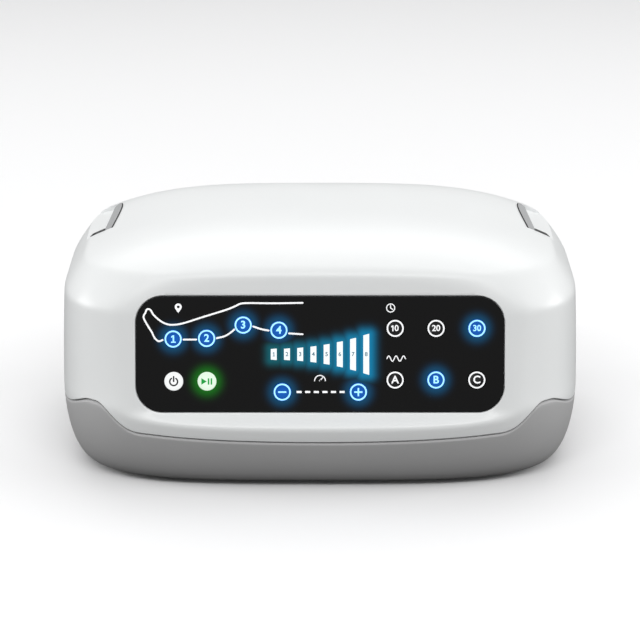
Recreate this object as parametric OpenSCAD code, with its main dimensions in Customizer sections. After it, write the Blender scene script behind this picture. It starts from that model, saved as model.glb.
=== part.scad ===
/* [Body] */
// Width of the pump housing at its widest
body_w = 260; // [240:1:280]
// Depth of the pump housing, front to back
body_d = 200; // [190:1:220]
// Height of the housing without its feet
body_h = 118; // [112:1:126]
// Squareness of the plan outline, where 2 is an ellipse and more is squarer
corner_n = 4.4; // [4:0.1:5]
// How far the front bows outwards from its ends to its middle
front_bow = 4; // [2:0.5:6]
// How far the back bows outwards from its ends to its middle
rear_bow = 8; // [5:0.5:9]
// Thickness of the moulded walls
wall_t = 3; // [2.4:0.1:3.6]

/* [Base curve] */
// Height over which the base curves out to the full width
hull_h = 38; // [32:1:42]
// How far the base draws in at its foot
hull_in = 13; // [10:0.5:16]

/* [Shoulders] */
// Height at which the side walls turn into the shoulders
shoulder_z = 84; // [80:1:88]
// Height at which the shoulders turn into the crowned top
crown_z = 101; // [98:1:104]
// How far the shoulders lean in at the sides
shoulder_in = 11; // [9:0.5:13]
// How far the shoulders lean in at the front and back
shoulder_end_in = 10; // [8:0.5:12]
// How far the front wall leans back between the base curve and the shoulder
front_lean = 12; // [10:0.5:14]
// How far the rear wall leans forward over the same height
rear_lean = 6; // [4:0.5:8]
// Roundness of the crowned top, where more is flatter with a tighter edge
crown_n = 3.4; // [2.6:0.1:4]

/* [Seam] */
// Height of the housing seam at the middle of the front
seam_front_z = 25.8; // [22:0.2:28]
// Height of the housing seam at the four corners
seam_corner_z = 41.8; // [38:0.2:43]
// Distance from the middle at which the seam starts to climb
seam_turn_x = 84; // [78:1:88]
// Width over which the seam climbs from the front level to the corner level
seam_turn_w = 26; // [22:1:30]
// How far the seam falls again from the corners to the middle of the sides
seam_fall = 7.5; // [4:0.5:9]
// Shadow gap between the upper and the lower housing
seam_gap = 0.5; // [0.3:0.1:0.8]
// Height of the locating lip that stands up inside the seam
lip_h = 4; // [3:0.5:6]
// Thickness of the locating lip
lip_t = 1.5; // [1.2:0.1:2]
// Clearance between the lip and the wall around it
lip_gap = 0.25; // [0.15:0.05:0.4]

/* [Control panel] */
// Width of the black front panel
panel_w = 179.6; // [170:0.2:184]
// Height of the black front panel
panel_h = 56.6; // [54:0.2:58]
// Corner radius of the front panel
panel_r = 13; // [10:0.5:16]
// Thickness of the front panel
panel_t = 1.4; // [1:0.1:2]
// How far the flat that carries the panel leans back from vertical
panel_tilt = 14.6; // [13:0.1:16]
// Height of the middle of the panel above the housing's underside
panel_z = 64.5; // [62:0.5:67]
// Distance of the middle of the panel from the front of the housing
panel_in = 15.2; // [14:0.1:17]
// How far the panel's face lies below the flat around it
panel_sink = 0.2; // [0:0.1:0.5]
// Gap around the panel in its pocket
panel_gap = 0.25; // [0.15:0.05:0.5]
// Width of the ledge that the panel is bonded to
panel_ledge = 4; // [3:0.2:4.2]

/* [Keys] */
// Diameter of a key cap
key_d = 8.8; // [8:0.1:9.6]
// How far a key cap stands out of the panel
key_proud = 0.7; // [0.5:0.1:1]
// Travel of a key
key_travel = 0.8; // [0.5:0.1:1]
// Radial gap between a key cap and its hole
key_gap = 0.2; // [0.15:0.05:0.3]
// Width of the flange that keeps a key behind the panel
key_flange = 0.9; // [0.7:0.1:1]
// Thickness of the key flange
key_flange_t = 0.8; // [0.6:0.1:1]
// Rounding of a key cap's rim
key_round = 0.35; // [0.2:0.05:0.45]
// Play between the key flange and the back of the panel
key_play = 0.1; // [0.05:0.05:0.2]

/* [Pressure display] */
// Number of light bars
bar_count = 8; // [6:1:8]
// Distance from one light bar to the next
bar_pitch = 6.44; // [6.2:0.02:6.6]
// Width of a light bar
bar_w = 2.8; // [2.4:0.1:3]
// Height of the shortest light bar
bar_h_min = 5.3; // [4.8:0.1:6]
// Height of the tallest light bar
bar_h_max = 19.2; // [18:0.2:21]

/* [Carrying grips] */
// Distance of the grip's inner edge from the side of the housing
grip_in = 29; // [27:0.2:30]
// Length of a grip recess
grip_len = 56; // [50:1:58]
// Distance of a grip's rear end from the back of the housing
grip_back = 53; // [50:1:56]
// Width of the sloping inner wall of a grip
grip_slope_w = 7.4; // [6:0.2:8]
// Depth of a grip's ledge below the crowned top, at the grip's rear end
grip_depth = 4.8; // [4.2:0.2:6]
// Fall of the grip's ledge towards the outside
grip_fall = 0.3; // [0.2:0.02:0.36]
// Thickness of the grey liner on the inner wall of a grip
liner_t = 1.2; // [1:0.1:1.6]

/* [Rear connections] */
// Width of the rear connector plate
rear_plate_w = 150; // [148:1:156]
// Height of the rear connector plate
rear_plate_h = 40; // [36:1:42]
// Thickness of the rear connector plate
rear_plate_t = 2.5; // [2:0.1:3]
// Height of the middle of the rear connector plate
rear_plate_z = 61; // [60:0.5:63]
// Distance of the rear flat from the back of the housing
rear_flat_in = 12; // [11:0.1:13]
// Bore of a hose port
port_d = 6; // [5.5:0.1:6.5]
// Distance from one hose port to the next
port_pitch = 12; // [11:0.1:12.4]
// Number of hose ports in a socket
port_count = 4; // [3:1:4]
// Distance of a hose socket from the middle of the housing
socket_x = 42; // [41:0.5:42.5]
// Width of a hose socket
socket_w = 52; // [50:0.5:53]
// Height of a hose socket
socket_h = 19; // [17:0.5:21]
// How far a hose socket stands out of the connector plate
socket_proud = 2.5; // [2:0.1:3]

/* [Air supply] */
// Length of the compressor between its heads' outer faces
pump_l = 88; // [84:1:92]
// Diameter of a diaphragm head
head_d = 44; // [40:1:48]
// Outer diameter of an air tube
tube_od = 8.5; // [8:0.1:9]
// Clearance between an air tube and the stub inside it
tube_fit = 0.05; // [0.02:0.01:0.08]
// Diameter of the air stubs that the tubes push onto
stub_d = 6; // [5.6:0.1:6.4]
// Bore of the air stubs
stub_bore = 3; // [2.4:0.1:3.4]

/* [Fasteners and feet] */
// Diameter of a rubber foot
foot_d = 16; // [14:0.5:18]
// How far the feet lift the housing
foot_gap = 2.5; // [2:0.1:4]
// Distance of a foot from the middle, sideways
foot_x = 84; // [78:1:88]
// Distance of a foot from the middle, front to back
foot_y = 58; // [54:1:62]
// Diameter of a housing screw's thread
screw_d = 3; // [2.6:0.1:3.4]
// Distance of a housing screw from the middle, sideways
boss_x = 96; // [92:1:98]
// Distance of a housing screw from the middle, front to back
boss_y = 62; // [58:1:64]
// Outer diameter of a screw post
boss_d = 9; // [8:0.5:10]

/* [Hidden] */
$fn = 48;
eps = 0.01;

// Colours, as the photograph shows them
shell_white = "#ECEEEE";
shell_grey = "#929496";
panel_black = "#17181A";
key_blue = "#005ABE";
liner_grey = "#A9ABAD";

// Outline of the housing: rings of points from the foot to the crown
outer_points = 96;
inner_points = 48;
z0 = foot_gap;
hull_turns = [0 : 15 : 90];
wall_steps = [0.25, 0.5, 0.75, 1];
shoulder_steps = [0.25, 0.5, 0.75, 1];
crown_steps = [0.98, 0.95, 0.9, 0.83, 0.73, 0.58, 0.38, 0.2];
shoulder_power = 1.2;
lean_power = 0.85;
front_y = body_d / 2;

// One ring is [height, half width, front reach, back reach]
function hull_ring(turn) =
    let(draw = hull_in * (1 - sin(turn)), z = hull_h * (1 - cos(turn)))
    [z, body_w / 2 - draw, front_y - draw, front_y - draw];
function wall_ring(t) =
    let(z = hull_h + (shoulder_z - hull_h) * t)
    [z, body_w / 2 - t * t, front_y - front_lean * pow(t, lean_power), front_y - rear_lean * t * t];
function shoulder_ring(t) =
    let(foot = wall_ring(1), s = pow(t, shoulder_power))
    [shoulder_z + (crown_z - shoulder_z) * t, foot[1] - shoulder_in * s,
     foot[2] - shoulder_end_in * s, foot[3] - shoulder_end_in * s];
function crown_ring(s) =
    let(foot = shoulder_ring(1))
    [crown_z + (body_h - crown_z) * (1 - pow(s, crown_n)), foot[1] * s, foot[2] * s, foot[3] * s];
base_rings = concat(
    [for (turn = hull_turns) hull_ring(turn)],
    [for (t = wall_steps) wall_ring(t)]);
outer_rings = concat(
    base_rings,
    [for (t = shoulder_steps) shoulder_ring(t)],
    [for (s = crown_steps) crown_ring(s)]);
// The hollow needs fewer rings, because nothing of it shows
inner_rings = concat(
    [for (turn = [0, 30, 60, 90]) hull_ring(turn)],
    [wall_ring(0.5), wall_ring(1), shoulder_ring(0.5), shoulder_ring(1)],
    [for (s = [0.95, 0.85, 0.65, 0.35]) crown_ring(s)]);

// Height of the crowned top above a point of the plan
function crown_top(x, y) =
    let(foot = shoulder_ring(1),
        bow = (y < 0 ? front_bow : rear_bow) * pow(x / (body_w / 2), 2),
        reach = (y < 0 ? foot[2] : foot[3]) - bow,
        s = pow(pow(abs(x) / foot[1], corner_n) + pow(abs(y) / reach, corner_n), 1 / corner_n))
    z0 + crown_z + (body_h - crown_z) * (1 - pow(s, crown_n));

// Points of one ring, drawn in by an inset on every side
function signed_pow(v, e) = sign(v) * pow(abs(v), e);
function ring_outline(ring, inset, count) = [
    for (i = [0 : count - 1])
        let(turn = 360 * i / count,
            across = signed_pow(cos(turn), 2 / corner_n),
            along = signed_pow(sin(turn), 2 / corner_n),
            bow = (along < 0 ? front_bow : rear_bow) * pow(across * ring[1] / (body_w / 2), 2),
            reach = (along < 0 ? ring[2] : ring[3]) - bow - inset,
            squeeze = (body_h - 2 * inset) / body_h)
        [across * (ring[1] - inset), along * reach, z0 + inset + ring[0] * squeeze]];

// Closed solid through the rings, as triangles
module body_solid(inset = 0, rings = outer_rings, count = outer_points) {
    n = len(rings);
    points = [for (ring = rings) each ring_outline(ring, inset, count)];
    sides = [for (k = [0 : n - 2], i = [0 : count - 1])
        let(a = k * count + i, b = k * count + (i + 1) % count)
        each [[a, a + count, b], [b, a + count, b + count]]];
    polyhedron(points, concat(
        [[for (i = [0 : count - 1]) i]],
        sides,
        [[for (i = [count - 1 : -1 : 0]) (n - 1) * count + i]]));
}

// Seam of the housing, a height for each distance from the middle: it climbs from the front to
// the corners and falls a little towards the middle of the sides
seam_steps = 12;
seam_fall_steps = 6;
seam_arch = 2.6;
seam_power = 1.65;
seam_crest = 3;
seam_fall_x = seam_turn_x + seam_turn_w + seam_crest;
seam_fall_w = body_w / 2 - seam_fall_x;
function smooth(t) = t * t * (3 - 2 * t);
function share(x, start, run) = min(1, max(0, (abs(x) - start) / run));
function seam_z(x) =
    let(low = seam_front_z + seam_arch * pow(min(abs(x), seam_turn_x) / seam_turn_x, 2),
        climb = smooth(pow(share(x, seam_turn_x, seam_turn_w), seam_power)))
    low + (seam_corner_z - low) * climb - seam_fall * smooth(share(x, seam_fall_x, seam_fall_w));
seam_half = concat(
    [for (i = [0 : 4]) seam_turn_x * i / 4],
    [for (i = [1 : seam_steps]) seam_turn_x + seam_turn_w * i / seam_steps],
    [for (i = [0 : seam_fall_steps]) seam_fall_x + seam_fall_w * i / seam_fall_steps],
    [body_w]);
seam_line = concat(
    [for (i = [len(seam_half) - 1 : -1 : 1]) [-seam_half[i], seam_z(seam_half[i])]],
    [for (x = seam_half) [x, seam_z(x)]]);

// Everything above or below the seam, moved up by lift
module above_seam(lift) {
    top = 2 * body_h;
    rotate([90, 0, 0])
        translate([0, lift, -body_d])
            linear_extrude(2 * body_d)
                polygon(concat(seam_line, [[body_w, top], [-body_w, top]]));
}

module below_seam(lift) {
    rotate([90, 0, 0])
        translate([0, lift, -body_d])
            linear_extrude(2 * body_d)
                polygon(concat(seam_line, [[body_w, -body_h], [-body_w, -body_h]]));
}

// Panel space: x across, y up the flat, z out of the flat
panel_y = body_d / 2 - panel_in;
module on_panel() {
    translate([0, -panel_y, z0 + panel_z])
        rotate([90 - panel_tilt, 0, 0])
            children();
}

module rounded_rect(w, h, r) {
    hull()
        for (x = [-1, 1], y = [-1, 1])
            translate([x * (w / 2 - r), y * (h / 2 - r)])
                circle(r);
}

// Front flat: the wedge cut off the bowed front, with a sloping shelf below the panel
shelf_gap = 1.2;
shelf_slope = 42;
flat_w = 230;
flat_up = 64;
flat_out = 30;
module front_flat_cut(back = 0) {
    low = -panel_h / 2 - shelf_gap;
    on_panel()
        translate([-flat_w / 2, 0, 0])
            rotate([90, 0, 90])
                linear_extrude(flat_w)
                    polygon([
                        [low - back, -back],
                        [flat_up, -back],
                        [flat_up, flat_out],
                        [low - back - flat_out * tan(shelf_slope), flat_out]]);
}

pocket_depth = panel_t + panel_sink;
window_w = panel_w - 2 * panel_ledge;
window_h = panel_h - 2 * panel_ledge;
module panel_pocket() {
    on_panel() {
        translate([0, 0, -pocket_depth])
            linear_extrude(flat_out)
                rounded_rect(panel_w + 2 * panel_gap, panel_h + 2 * panel_gap, panel_r + panel_gap);
        translate([0, 0, -2 * wall_t])
            linear_extrude(2 * wall_t)
                rounded_rect(window_w, window_h, panel_r - panel_ledge / 2);
    }
}

// Keys: places on the panel in millimetres from its middle, right and up
key_places = [
    ["key_zone_1", -71.5, 7.5], ["key_zone_2", -55.2, 7.8],
    ["key_zone_3", -37.4, 14.3], ["key_zone_4", -20, 11.8],
    ["key_power", -71.3, -13.2], ["key_start_pause", -55.1, -13.2],
    ["key_minus", -18.4, -18.4], ["key_plus", 18.7, -18.4],
    ["key_time_10", 36.6, 12.7], ["key_time_20", 56.5, 12.7], ["key_time_30", 76.4, 12.7],
    ["key_mode_a", 36.6, -12.5], ["key_mode_b", 56.5, -12.5], ["key_mode_c", 76.4, -12.5]];
stem_d = 4;
stem_l = 1.5;
press_gap = 0.1;
panel_face = -panel_sink;
panel_back = panel_face - panel_t;
flange_top = panel_back - key_play;
stem_end = flange_top - key_flange_t - stem_l;
switch_top = stem_end - key_travel - press_gap;
switch_w = 6;
switch_h = 3.4;
button_h = 0.9;
board_t = 1.6;
board_face = switch_top - button_h - switch_h;
key_board_w = 190;
key_board_h = 50;
board_post_x = 89.5;
board_post_y = 18;
board_post_d = 6;
board_screw_d = 2.5;
board_screw_l = 6;

module key_cap(place) {
    top = panel_face + key_proud;
    on_panel()
        translate([place[1], place[2], 0])
            rotate_extrude()
                polygon(concat(
                    [[0, stem_end], [stem_d / 2, stem_end], [stem_d / 2, flange_top - key_flange_t],
                     [key_d / 2 + key_flange, flange_top - key_flange_t],
                     [key_d / 2 + key_flange, flange_top], [key_d / 2, flange_top]],
                    [for (a = [0 : 30 : 90])
                        [key_d / 2 - key_round * (1 - cos(a)), top - key_round * (1 - sin(a))]],
                    [[0, top]]));
}

module key(name, tint) {
    color(tint)
        for (place = key_places)
            if (place[0] == name) key_cap(place);
}

// Light bars grow from left to right and their ends slant with the fan
bar_power = 2.1;
bar_slant = 0.045;
light_depth = 6.2;
light_flange = 0.8;
light_pad = 1;
function bar_x(i) = (i - (bar_count - 1) / 2) * bar_pitch;
function bar_h(i) = bar_h_min + (bar_h_max - bar_h_min) * pow(i / (bar_count - 1), bar_power);
module bar_shape(i, grow) {
    low = bar_h(i) / 2 * (1 - bar_slant) + grow;
    high = bar_h(i) / 2 * (1 + bar_slant) + grow;
    polygon([[-bar_w / 2 - grow, -low], [bar_w / 2 + grow, -high],
             [bar_w / 2 + grow, high], [-bar_w / 2 - grow, low]]);
}
module each_bar() {
    for (i = [0 : bar_count - 1])
        translate([bar_x(i), 0, 0]) {
            $bar = i;
            children();
        }
}

// Mirrored copies about the middle plane, and copies at four corners
module both_sides() {
    children();
    mirror([1, 0, 0]) children();
}
module four_corners(x, y) {
    for (sx = [-1, 1], sy = [-1, 1])
        translate([sx * x, sy * y, 0]) children();
}

// Grip recess on the right shoulder: a sloping inner wall and a ledge
grip_x = body_w / 2 - grip_in;
grip_end_y = body_d / 2 - grip_back;
grip_y = grip_end_y - grip_len / 2;
grip_edge_z = crown_top(grip_x, 0);
grip_foot_x = grip_x + grip_slope_w;
grip_foot_z = crown_top(grip_x, grip_end_y) - grip_depth;
grip_angle = atan((grip_edge_z - grip_foot_z) / grip_slope_w);
grip_reach = 30;
grip_rise = 12;
module grip_section(drop) {
    top_x = grip_x - grip_rise / tan(grip_angle);
    polygon([
        [top_x, grip_edge_z + grip_rise - drop],
        [grip_foot_x, grip_foot_z - drop],
        [grip_foot_x + grip_reach, grip_foot_z - grip_reach * grip_fall - drop],
        [grip_foot_x + grip_reach, grip_edge_z + grip_rise],
        [top_x, grip_edge_z + grip_rise]]);
}
// Length of the sloping wall from its foot up to the crowned top, at one depth
function grip_climb(y, guess = 8, tries = 8) =
    tries == 0 ? guess
    : grip_climb(y, (crown_top(grip_foot_x - guess * cos(grip_angle), y) - grip_foot_z)
                    / sin(grip_angle), tries - 1);
module grip_cut(drop = 0, longer = 0) {
    translate([0, grip_y + grip_len / 2 + longer, 0])
        rotate([90, 0, 0])
            linear_extrude(grip_len + 2 * longer)
                grip_section(drop);
}

// Rear flat, its pocket for the connector plate and the vent slots
rear_flat_y = body_d / 2 - rear_flat_in;
rear_pocket_gap = 0.25;
plate_r = 6;
vent_w = 2.4;
vent_count = 9;
vent_pitch = 6;
vent_l = 44;
rear_vent_z = 91;
rear_vent_h = 7;
module rear_flat_cut(back = 0) {
    shape_h = rear_plate_h + 8 - 2 * back;
    translate([0, rear_flat_y - back, z0 + rear_plate_z])
        rotate([-90, 0, 0])
            linear_extrude(flat_out)
                rounded_rect(rear_plate_w + 8 + 2 * back, shape_h + 4 * back, plate_r + 2);
}
module on_rear() {
    translate([0, rear_flat_y, z0 + rear_plate_z])
        rotate([90, 0, 180])
            children();
}
module rear_opening() {
    on_rear()
        translate([0, 0, -2 * wall_t - 3])
            linear_extrude(2 * wall_t + 4)
                rounded_rect(rear_plate_w - 8, rear_plate_h - 8, plate_r - 2);
    on_rear()
        translate([0, 0, -rear_plate_t])
            linear_extrude(rear_plate_t + 1)
                rounded_rect(rear_plate_w + 2 * rear_pocket_gap,
                             rear_plate_h + 2 * rear_pocket_gap, plate_r + rear_pocket_gap);
}

// Screw posts: the lower ones end a little below the corners of the seam
boss_drop = 3.3;
boss_split_z = seam_corner_z - boss_drop;
boss_gap = 0.3;
screw_head_d = 5.6;
screw_head_h = 2.4;
screw_sink = 24;
screw_clear = 0.2;
screw_bite = 9;
module screw_post(z_low, z_high) {
    translate([0, 0, z_low]) cylinder(d = boss_d, h = z_high - z_low);
}

// Inner heights
floor_z = z0 + wall_t;
pump_x = -28;
pump_base_z = floor_z + 9;
plate_t = 3;
pump_axis_z = pump_base_z + plate_t + head_d / 2 + 3;
manifold_in = 50;
manifold_y = rear_flat_y - manifold_in;
pump_to_manifold = 54;
pump_y = manifold_y - pump_to_manifold;
manifold_d = 22;
manifold_h = 20;
manifold_z = z0 + rear_plate_z - manifold_h / 2;
manifold_w = 2 * (socket_x + port_x(port_count - 1)) + 14;
stub_l = 9;
tube_grip = 7;
head_l = 14;

module upper_housing() {
    color(shell_white)
        difference() {
            intersection() {
                body_solid();
                above_seam(seam_gap / 2);
            }
            difference() {
                body_solid(wall_t, inner_rings, inner_points);
                front_flat_cut(wall_t);
                rear_flat_cut(wall_t + 1.5);
                both_sides() grip_cut(wall_t, wall_t);
                upper_posts();
            }
            front_flat_cut();
            panel_pocket();
            both_sides() grip_cut();
            rear_flat_cut();
            rear_opening();
            rear_vents();
            on_panel()
                for (x = [-1, 1], y = [-1, 1])
                    translate([x * board_post_x, y * board_post_y, board_face - eps])
                        cylinder(d = board_screw_d - 0.4, h = board_screw_l - 1);
            four_corners(boss_x, boss_y)
                translate([0, 0, boss_split_z - eps])
                    cylinder(d = screw_d - 0.4, h = screw_bite + 2);
        }
}

// Posts that stay standing inside the upper housing
module upper_posts() {
    four_corners(boss_x, boss_y)
        screw_post(boss_split_z + boss_gap / 2, z0 + body_h);
    on_panel()
        for (x = [-1, 1], y = [-1, 1])
            translate([x * board_post_x, y * board_post_y, board_face])
                cylinder(d = board_post_d, h = -board_face);
}

module rear_vents() {
    for (i = [0 : vent_count - 1])
        translate([(i - (vent_count - 1) / 2) * vent_pitch, body_d / 2, z0 + rear_vent_z])
            cube([vent_w, body_d / 4, rear_vent_h], center = true);
}

module lower_housing() {
    color(shell_grey)
        difference() {
            union() {
                difference() {
                    intersection() {
                        body_solid(0, base_rings);
                        below_seam(-seam_gap / 2);
                    }
                    body_solid(wall_t, inner_rings, inner_points);
                }
                four_corners(boss_x, boss_y)
                    screw_post(z0 + 1, boss_split_z - boss_gap / 2);
                locating_lip();
                pump_posts();
                board_posts();
                manifold_posts();
            }
            four_corners(boss_x, boss_y) {
                translate([0, 0, -eps]) cylinder(d = screw_d + 2 * screw_clear, h = body_h / 2);
                translate([0, 0, -eps])
                    cylinder(d = screw_head_d + 2 * screw_clear, h = screw_sink);
            }
            four_corners(foot_x, foot_y)
                translate([0, 0, -eps]) cylinder(d = foot_d + 0.4, h = z0 + foot_seat + eps);
            floor_vents();
            translate([filter_x, filter_y, -eps]) cylinder(d = filter_hole, h = body_h / 4);
        }
}

// Lip that rises from the lower wall and stands just inside the upper one
lip_root = 3;
lip_bond = 0.2;
module locating_lip() {
    intersection() {
        difference() {
            body_solid(wall_t - lip_bond, inner_rings, inner_points);
            body_solid(wall_t + lip_gap + lip_t, inner_rings, inner_points);
        }
        above_seam(-lip_root);
        below_seam(lip_h);
        union() {
            below_seam(-seam_gap / 2);
            body_solid(wall_t + lip_gap, inner_rings, inner_points);
        }
    }
}

foot_seat = 1.2;
filter_x = 44;
filter_in = 38;
filter_y = body_d / 2 - filter_in;
filter_d = 26;
filter_h = 26;
filter_core = 20;
filter_hole = 6;
module floor_vents() {
    for (i = [0 : vent_count - 1])
        translate([main_board_x + (i - (vent_count - 1) / 2) * vent_pitch, main_board_y, floor_z])
            cube([vent_w, vent_l, 4 * wall_t], center = true);
}

pump_post_x = 34;
pump_post_y = 26;
pump_post_d = 8;
mount_h = 6;
module pump_posts() {
    translate([pump_x, pump_y, floor_z - 1])
        four_corners(pump_post_x, pump_post_y)
            cylinder(d = pump_post_d, h = pump_base_z - mount_h - floor_z + 1);
}

main_board_x = 66;
main_board_y = -14;
main_board_w = 72;
main_board_d = 76;
main_board_z = floor_z + 6;
board_corner = 5;
module board_posts() {
    translate([main_board_x, main_board_y, floor_z - 1])
        four_corners(main_board_w / 2 - board_corner, main_board_d / 2 - board_corner)
            cylinder(d = board_post_d, h = main_board_z - floor_z + 1);
}

manifold_post_x = 54;
module manifold_posts() {
    for (x = [-1, 1])
        translate([x * manifold_post_x, manifold_y, floor_z - 1])
            cylinder(d1 = 13, d2 = 10, h = manifold_z - floor_z + 1);
}

module control_panel() {
    color(panel_black)
        on_panel()
            difference() {
                translate([0, 0, panel_back])
                    linear_extrude(panel_t)
                        rounded_rect(panel_w, panel_h, panel_r);
                for (place = key_places)
                    translate([place[1], place[2], panel_back - 1])
                        cylinder(d = key_d + 2 * key_gap, h = panel_t + 2);
                each_bar()
                    translate([0, 0, panel_back - 1])
                        linear_extrude(panel_t + 2)
                            bar_shape($bar, 0.05);
            }
}

module pressure_lights() {
    color("#CFF3FF")
        on_panel()
            each_bar() {
                translate([0, 0, panel_back - light_flange])
                    linear_extrude(light_flange)
                        bar_shape($bar, light_pad);
                translate([0, 0, panel_back - eps])
                    linear_extrude(panel_t + eps)
                        bar_shape($bar, 0);
                translate([-bar_w / 2, -bar_h_min / 2, panel_back - light_depth])
                    cube([bar_w, bar_h_min, light_depth - light_flange / 2]);
            }
}

module key_board() {
    color("#1E6B3C")
        on_panel()
            translate([0, 0, board_face - board_t])
                difference() {
                    linear_extrude(board_t)
                        rounded_rect(key_board_w, key_board_h, 3);
                    for (x = [-1, 1], y = [-1, 1])
                        translate([x * board_post_x, y * board_post_y, -1])
                            cylinder(d = board_screw_d + 2 * screw_clear, h = board_t + 2);
                }
}

module key_switches() {
    color("#2B2B2E")
        on_panel()
            for (place = key_places)
                translate([place[1], place[2], board_face]) {
                    translate([-switch_w / 2, -switch_w / 2, 0])
                        cube([switch_w, switch_w, switch_h]);
                    cylinder(d = 3.4, h = switch_h + button_h);
                }
}

module display_leds() {
    led_h = panel_back - light_depth - board_face - 0.1;
    color("#F4F6F0")
        on_panel()
            each_bar()
                translate([-1.4, -1.75, board_face])
                    cube([2.8, 3.5, led_h]);
}

module board_screws() {
    color("silver")
        on_panel()
            for (x = [-1, 1], y = [-1, 1])
                translate([x * board_post_x, y * board_post_y, board_face - board_t])
                    rotate([180, 0, 0]) {
                        cylinder(d = 4.6, h = 1.8);
                        translate([0, 0, -board_t - board_screw_l + 2])
                            cylinder(d = board_screw_d - 0.5, h = board_t + board_screw_l - 2);
                    }
}

// Grey liner on the sloping inner wall of a grip, whose upper edge follows the crowned top
liner_edge = 0.5;
liner_steps = 10;
liner_seat = 0.05;
module grip_liner() {
    half = grip_len / 2 - liner_edge;
    depths = [for (i = [0 : liner_steps]) -half + 2 * half * i / liner_steps];
    color(liner_grey)
        translate([grip_foot_x, grip_y, grip_foot_z])
            rotate([0, grip_angle, 0])
                translate([0, 0, liner_seat])
                    linear_extrude(liner_t)
                        polygon(concat(
                            [[-liner_t, -half]],
                            [for (y = depths) [-grip_climb(grip_y + y) + liner_t + liner_edge, y]],
                            [[-liner_t, half]]));
}
module grip_liner_right() { grip_liner(); }
module grip_liner_left() { mirror([1, 0, 0]) grip_liner(); }

inlet_x = 0;
inlet_w = 20;
inlet_h = 12;
module rear_plate() {
    color("#55585B")
        on_rear()
            difference() {
                translate([0, 0, -rear_plate_t])
                    linear_extrude(rear_plate_t)
                        rounded_rect(rear_plate_w, rear_plate_h, plate_r);
                for (x = [-1, 1])
                    translate([x * socket_x, 0, -rear_plate_t - 1])
                        linear_extrude(rear_plate_t + 2)
                            rounded_rect(socket_w + 0.4, socket_h + 0.4, 4.2);
                translate([inlet_x, 0, -rear_plate_t - 1])
                    linear_extrude(rear_plate_t + 2)
                        rounded_rect(inlet_w + 0.4, inlet_h + 0.4, 3.2);
            }
}

socket_in = 14;
port_depth = 12;
function port_x(i) = (i - (port_count - 1) / 2) * port_pitch;
module hose_socket() {
    color("#2E3033")
        on_rear()
            difference() {
                union() {
                    translate([0, 0, -rear_plate_t - socket_in])
                        linear_extrude(rear_plate_t + socket_in + socket_proud)
                            rounded_rect(socket_w, socket_h, 4);
                    translate([0, 0, -rear_plate_t - 1.5])
                        linear_extrude(1.45)
                            rounded_rect(socket_w + 3, socket_h + 4, 4);
                    for (i = [0 : port_count - 1])
                        translate([port_x(i), 0, -rear_plate_t - socket_in - stub_l])
                            cylinder(d = stub_d, h = stub_l + 1);
                }
                for (i = [0 : port_count - 1]) {
                    translate([port_x(i), 0, socket_proud - port_depth])
                        cylinder(d = port_d, h = port_depth + 1);
                    translate([port_x(i), 0, -rear_plate_t - socket_in - stub_l - 1])
                        cylinder(d = stub_bore, h = socket_in + stub_l + 8);
                }
            }
}
module hose_socket_right() { translate([socket_x, 0, 0]) hose_socket(); }
module hose_socket_left() { translate([-socket_x, 0, 0]) hose_socket(); }

inlet_in = 16;
inlet_hole_w = 15;
inlet_hole_h = 8;
inlet_wall = 2;
module mains_inlet() {
    color("#202224")
        on_rear()
            difference() {
                union() {
                    translate([inlet_x, 0, -inlet_in])
                        linear_extrude(inlet_in + 1)
                            rounded_rect(inlet_w, inlet_h, 3);
                    translate([inlet_x, 0, -rear_plate_t - 1.5])
                        linear_extrude(1.45)
                            rounded_rect(inlet_w + 4, inlet_h + 4, 3);
                }
                translate([inlet_x, 0, -inlet_in + inlet_wall])
                    linear_extrude(inlet_in)
                        rounded_rect(inlet_hole_w, inlet_hole_h, 3.9);
                for (x = [-1, 1])
                    translate([inlet_x + x * pin_x, 0, -inlet_in - 1])
                        cylinder(d = pin_d, h = inlet_wall + 2);
            }
}
pin_x = 3.3;
pin_d = 2.4;
module inlet_pins() {
    color("#C9B36B")
        on_rear()
            for (x = [-1, 1])
                translate([inlet_x + x * pin_x, 0, -inlet_in - 4])
                    cylinder(d = pin_d - 0.06, h = inlet_in - 1);
}

module valve_manifold() {
    color("#D8D8D2")
        difference() {
            union() {
                translate([-manifold_w / 2, manifold_y - manifold_d / 2, manifold_z])
                    cube([manifold_w, manifold_d, manifold_h]);
                for (side = [-1, 1], i = [0 : port_count - 1])
                    translate([side * socket_x + port_x(i), manifold_y + manifold_d / 2 - 1,
                               z0 + rear_plate_z])
                        rotate([-90, 0, 0]) cylinder(d = stub_d, h = stub_l + 1);
                for (side = [-1, 1])
                    translate([pump_x + side * outlet_x, manifold_y - manifold_d / 2 + 1,
                               z0 + rear_plate_z])
                        rotate([90, 0, 0]) cylinder(d = stub_d, h = stub_l + 1);
            }
            for (side = [-1, 1], i = [0 : port_count - 1])
                translate([side * socket_x + port_x(i), manifold_y, z0 + rear_plate_z])
                    rotate([-90, 0, 0]) cylinder(d = stub_bore, h = manifold_d);
            for (side = [-1, 1])
                translate([pump_x + side * outlet_x, manifold_y, z0 + rear_plate_z])
                    rotate([90, 0, 0]) cylinder(d = stub_bore, h = manifold_d);
        }
}

valve_d = 11.5;
valve_h = 20;
module solenoid_valves() {
    color("#3A3F45")
        for (side = [-1, 1], i = [0 : port_count - 1])
            translate([side * socket_x + port_x(i), manifold_y, manifold_z + manifold_h]) {
                translate([0, 0, 0.05]) cylinder(d = valve_d, h = valve_h);
                cylinder(d = 5, h = valve_h + 3);
            }
}

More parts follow.
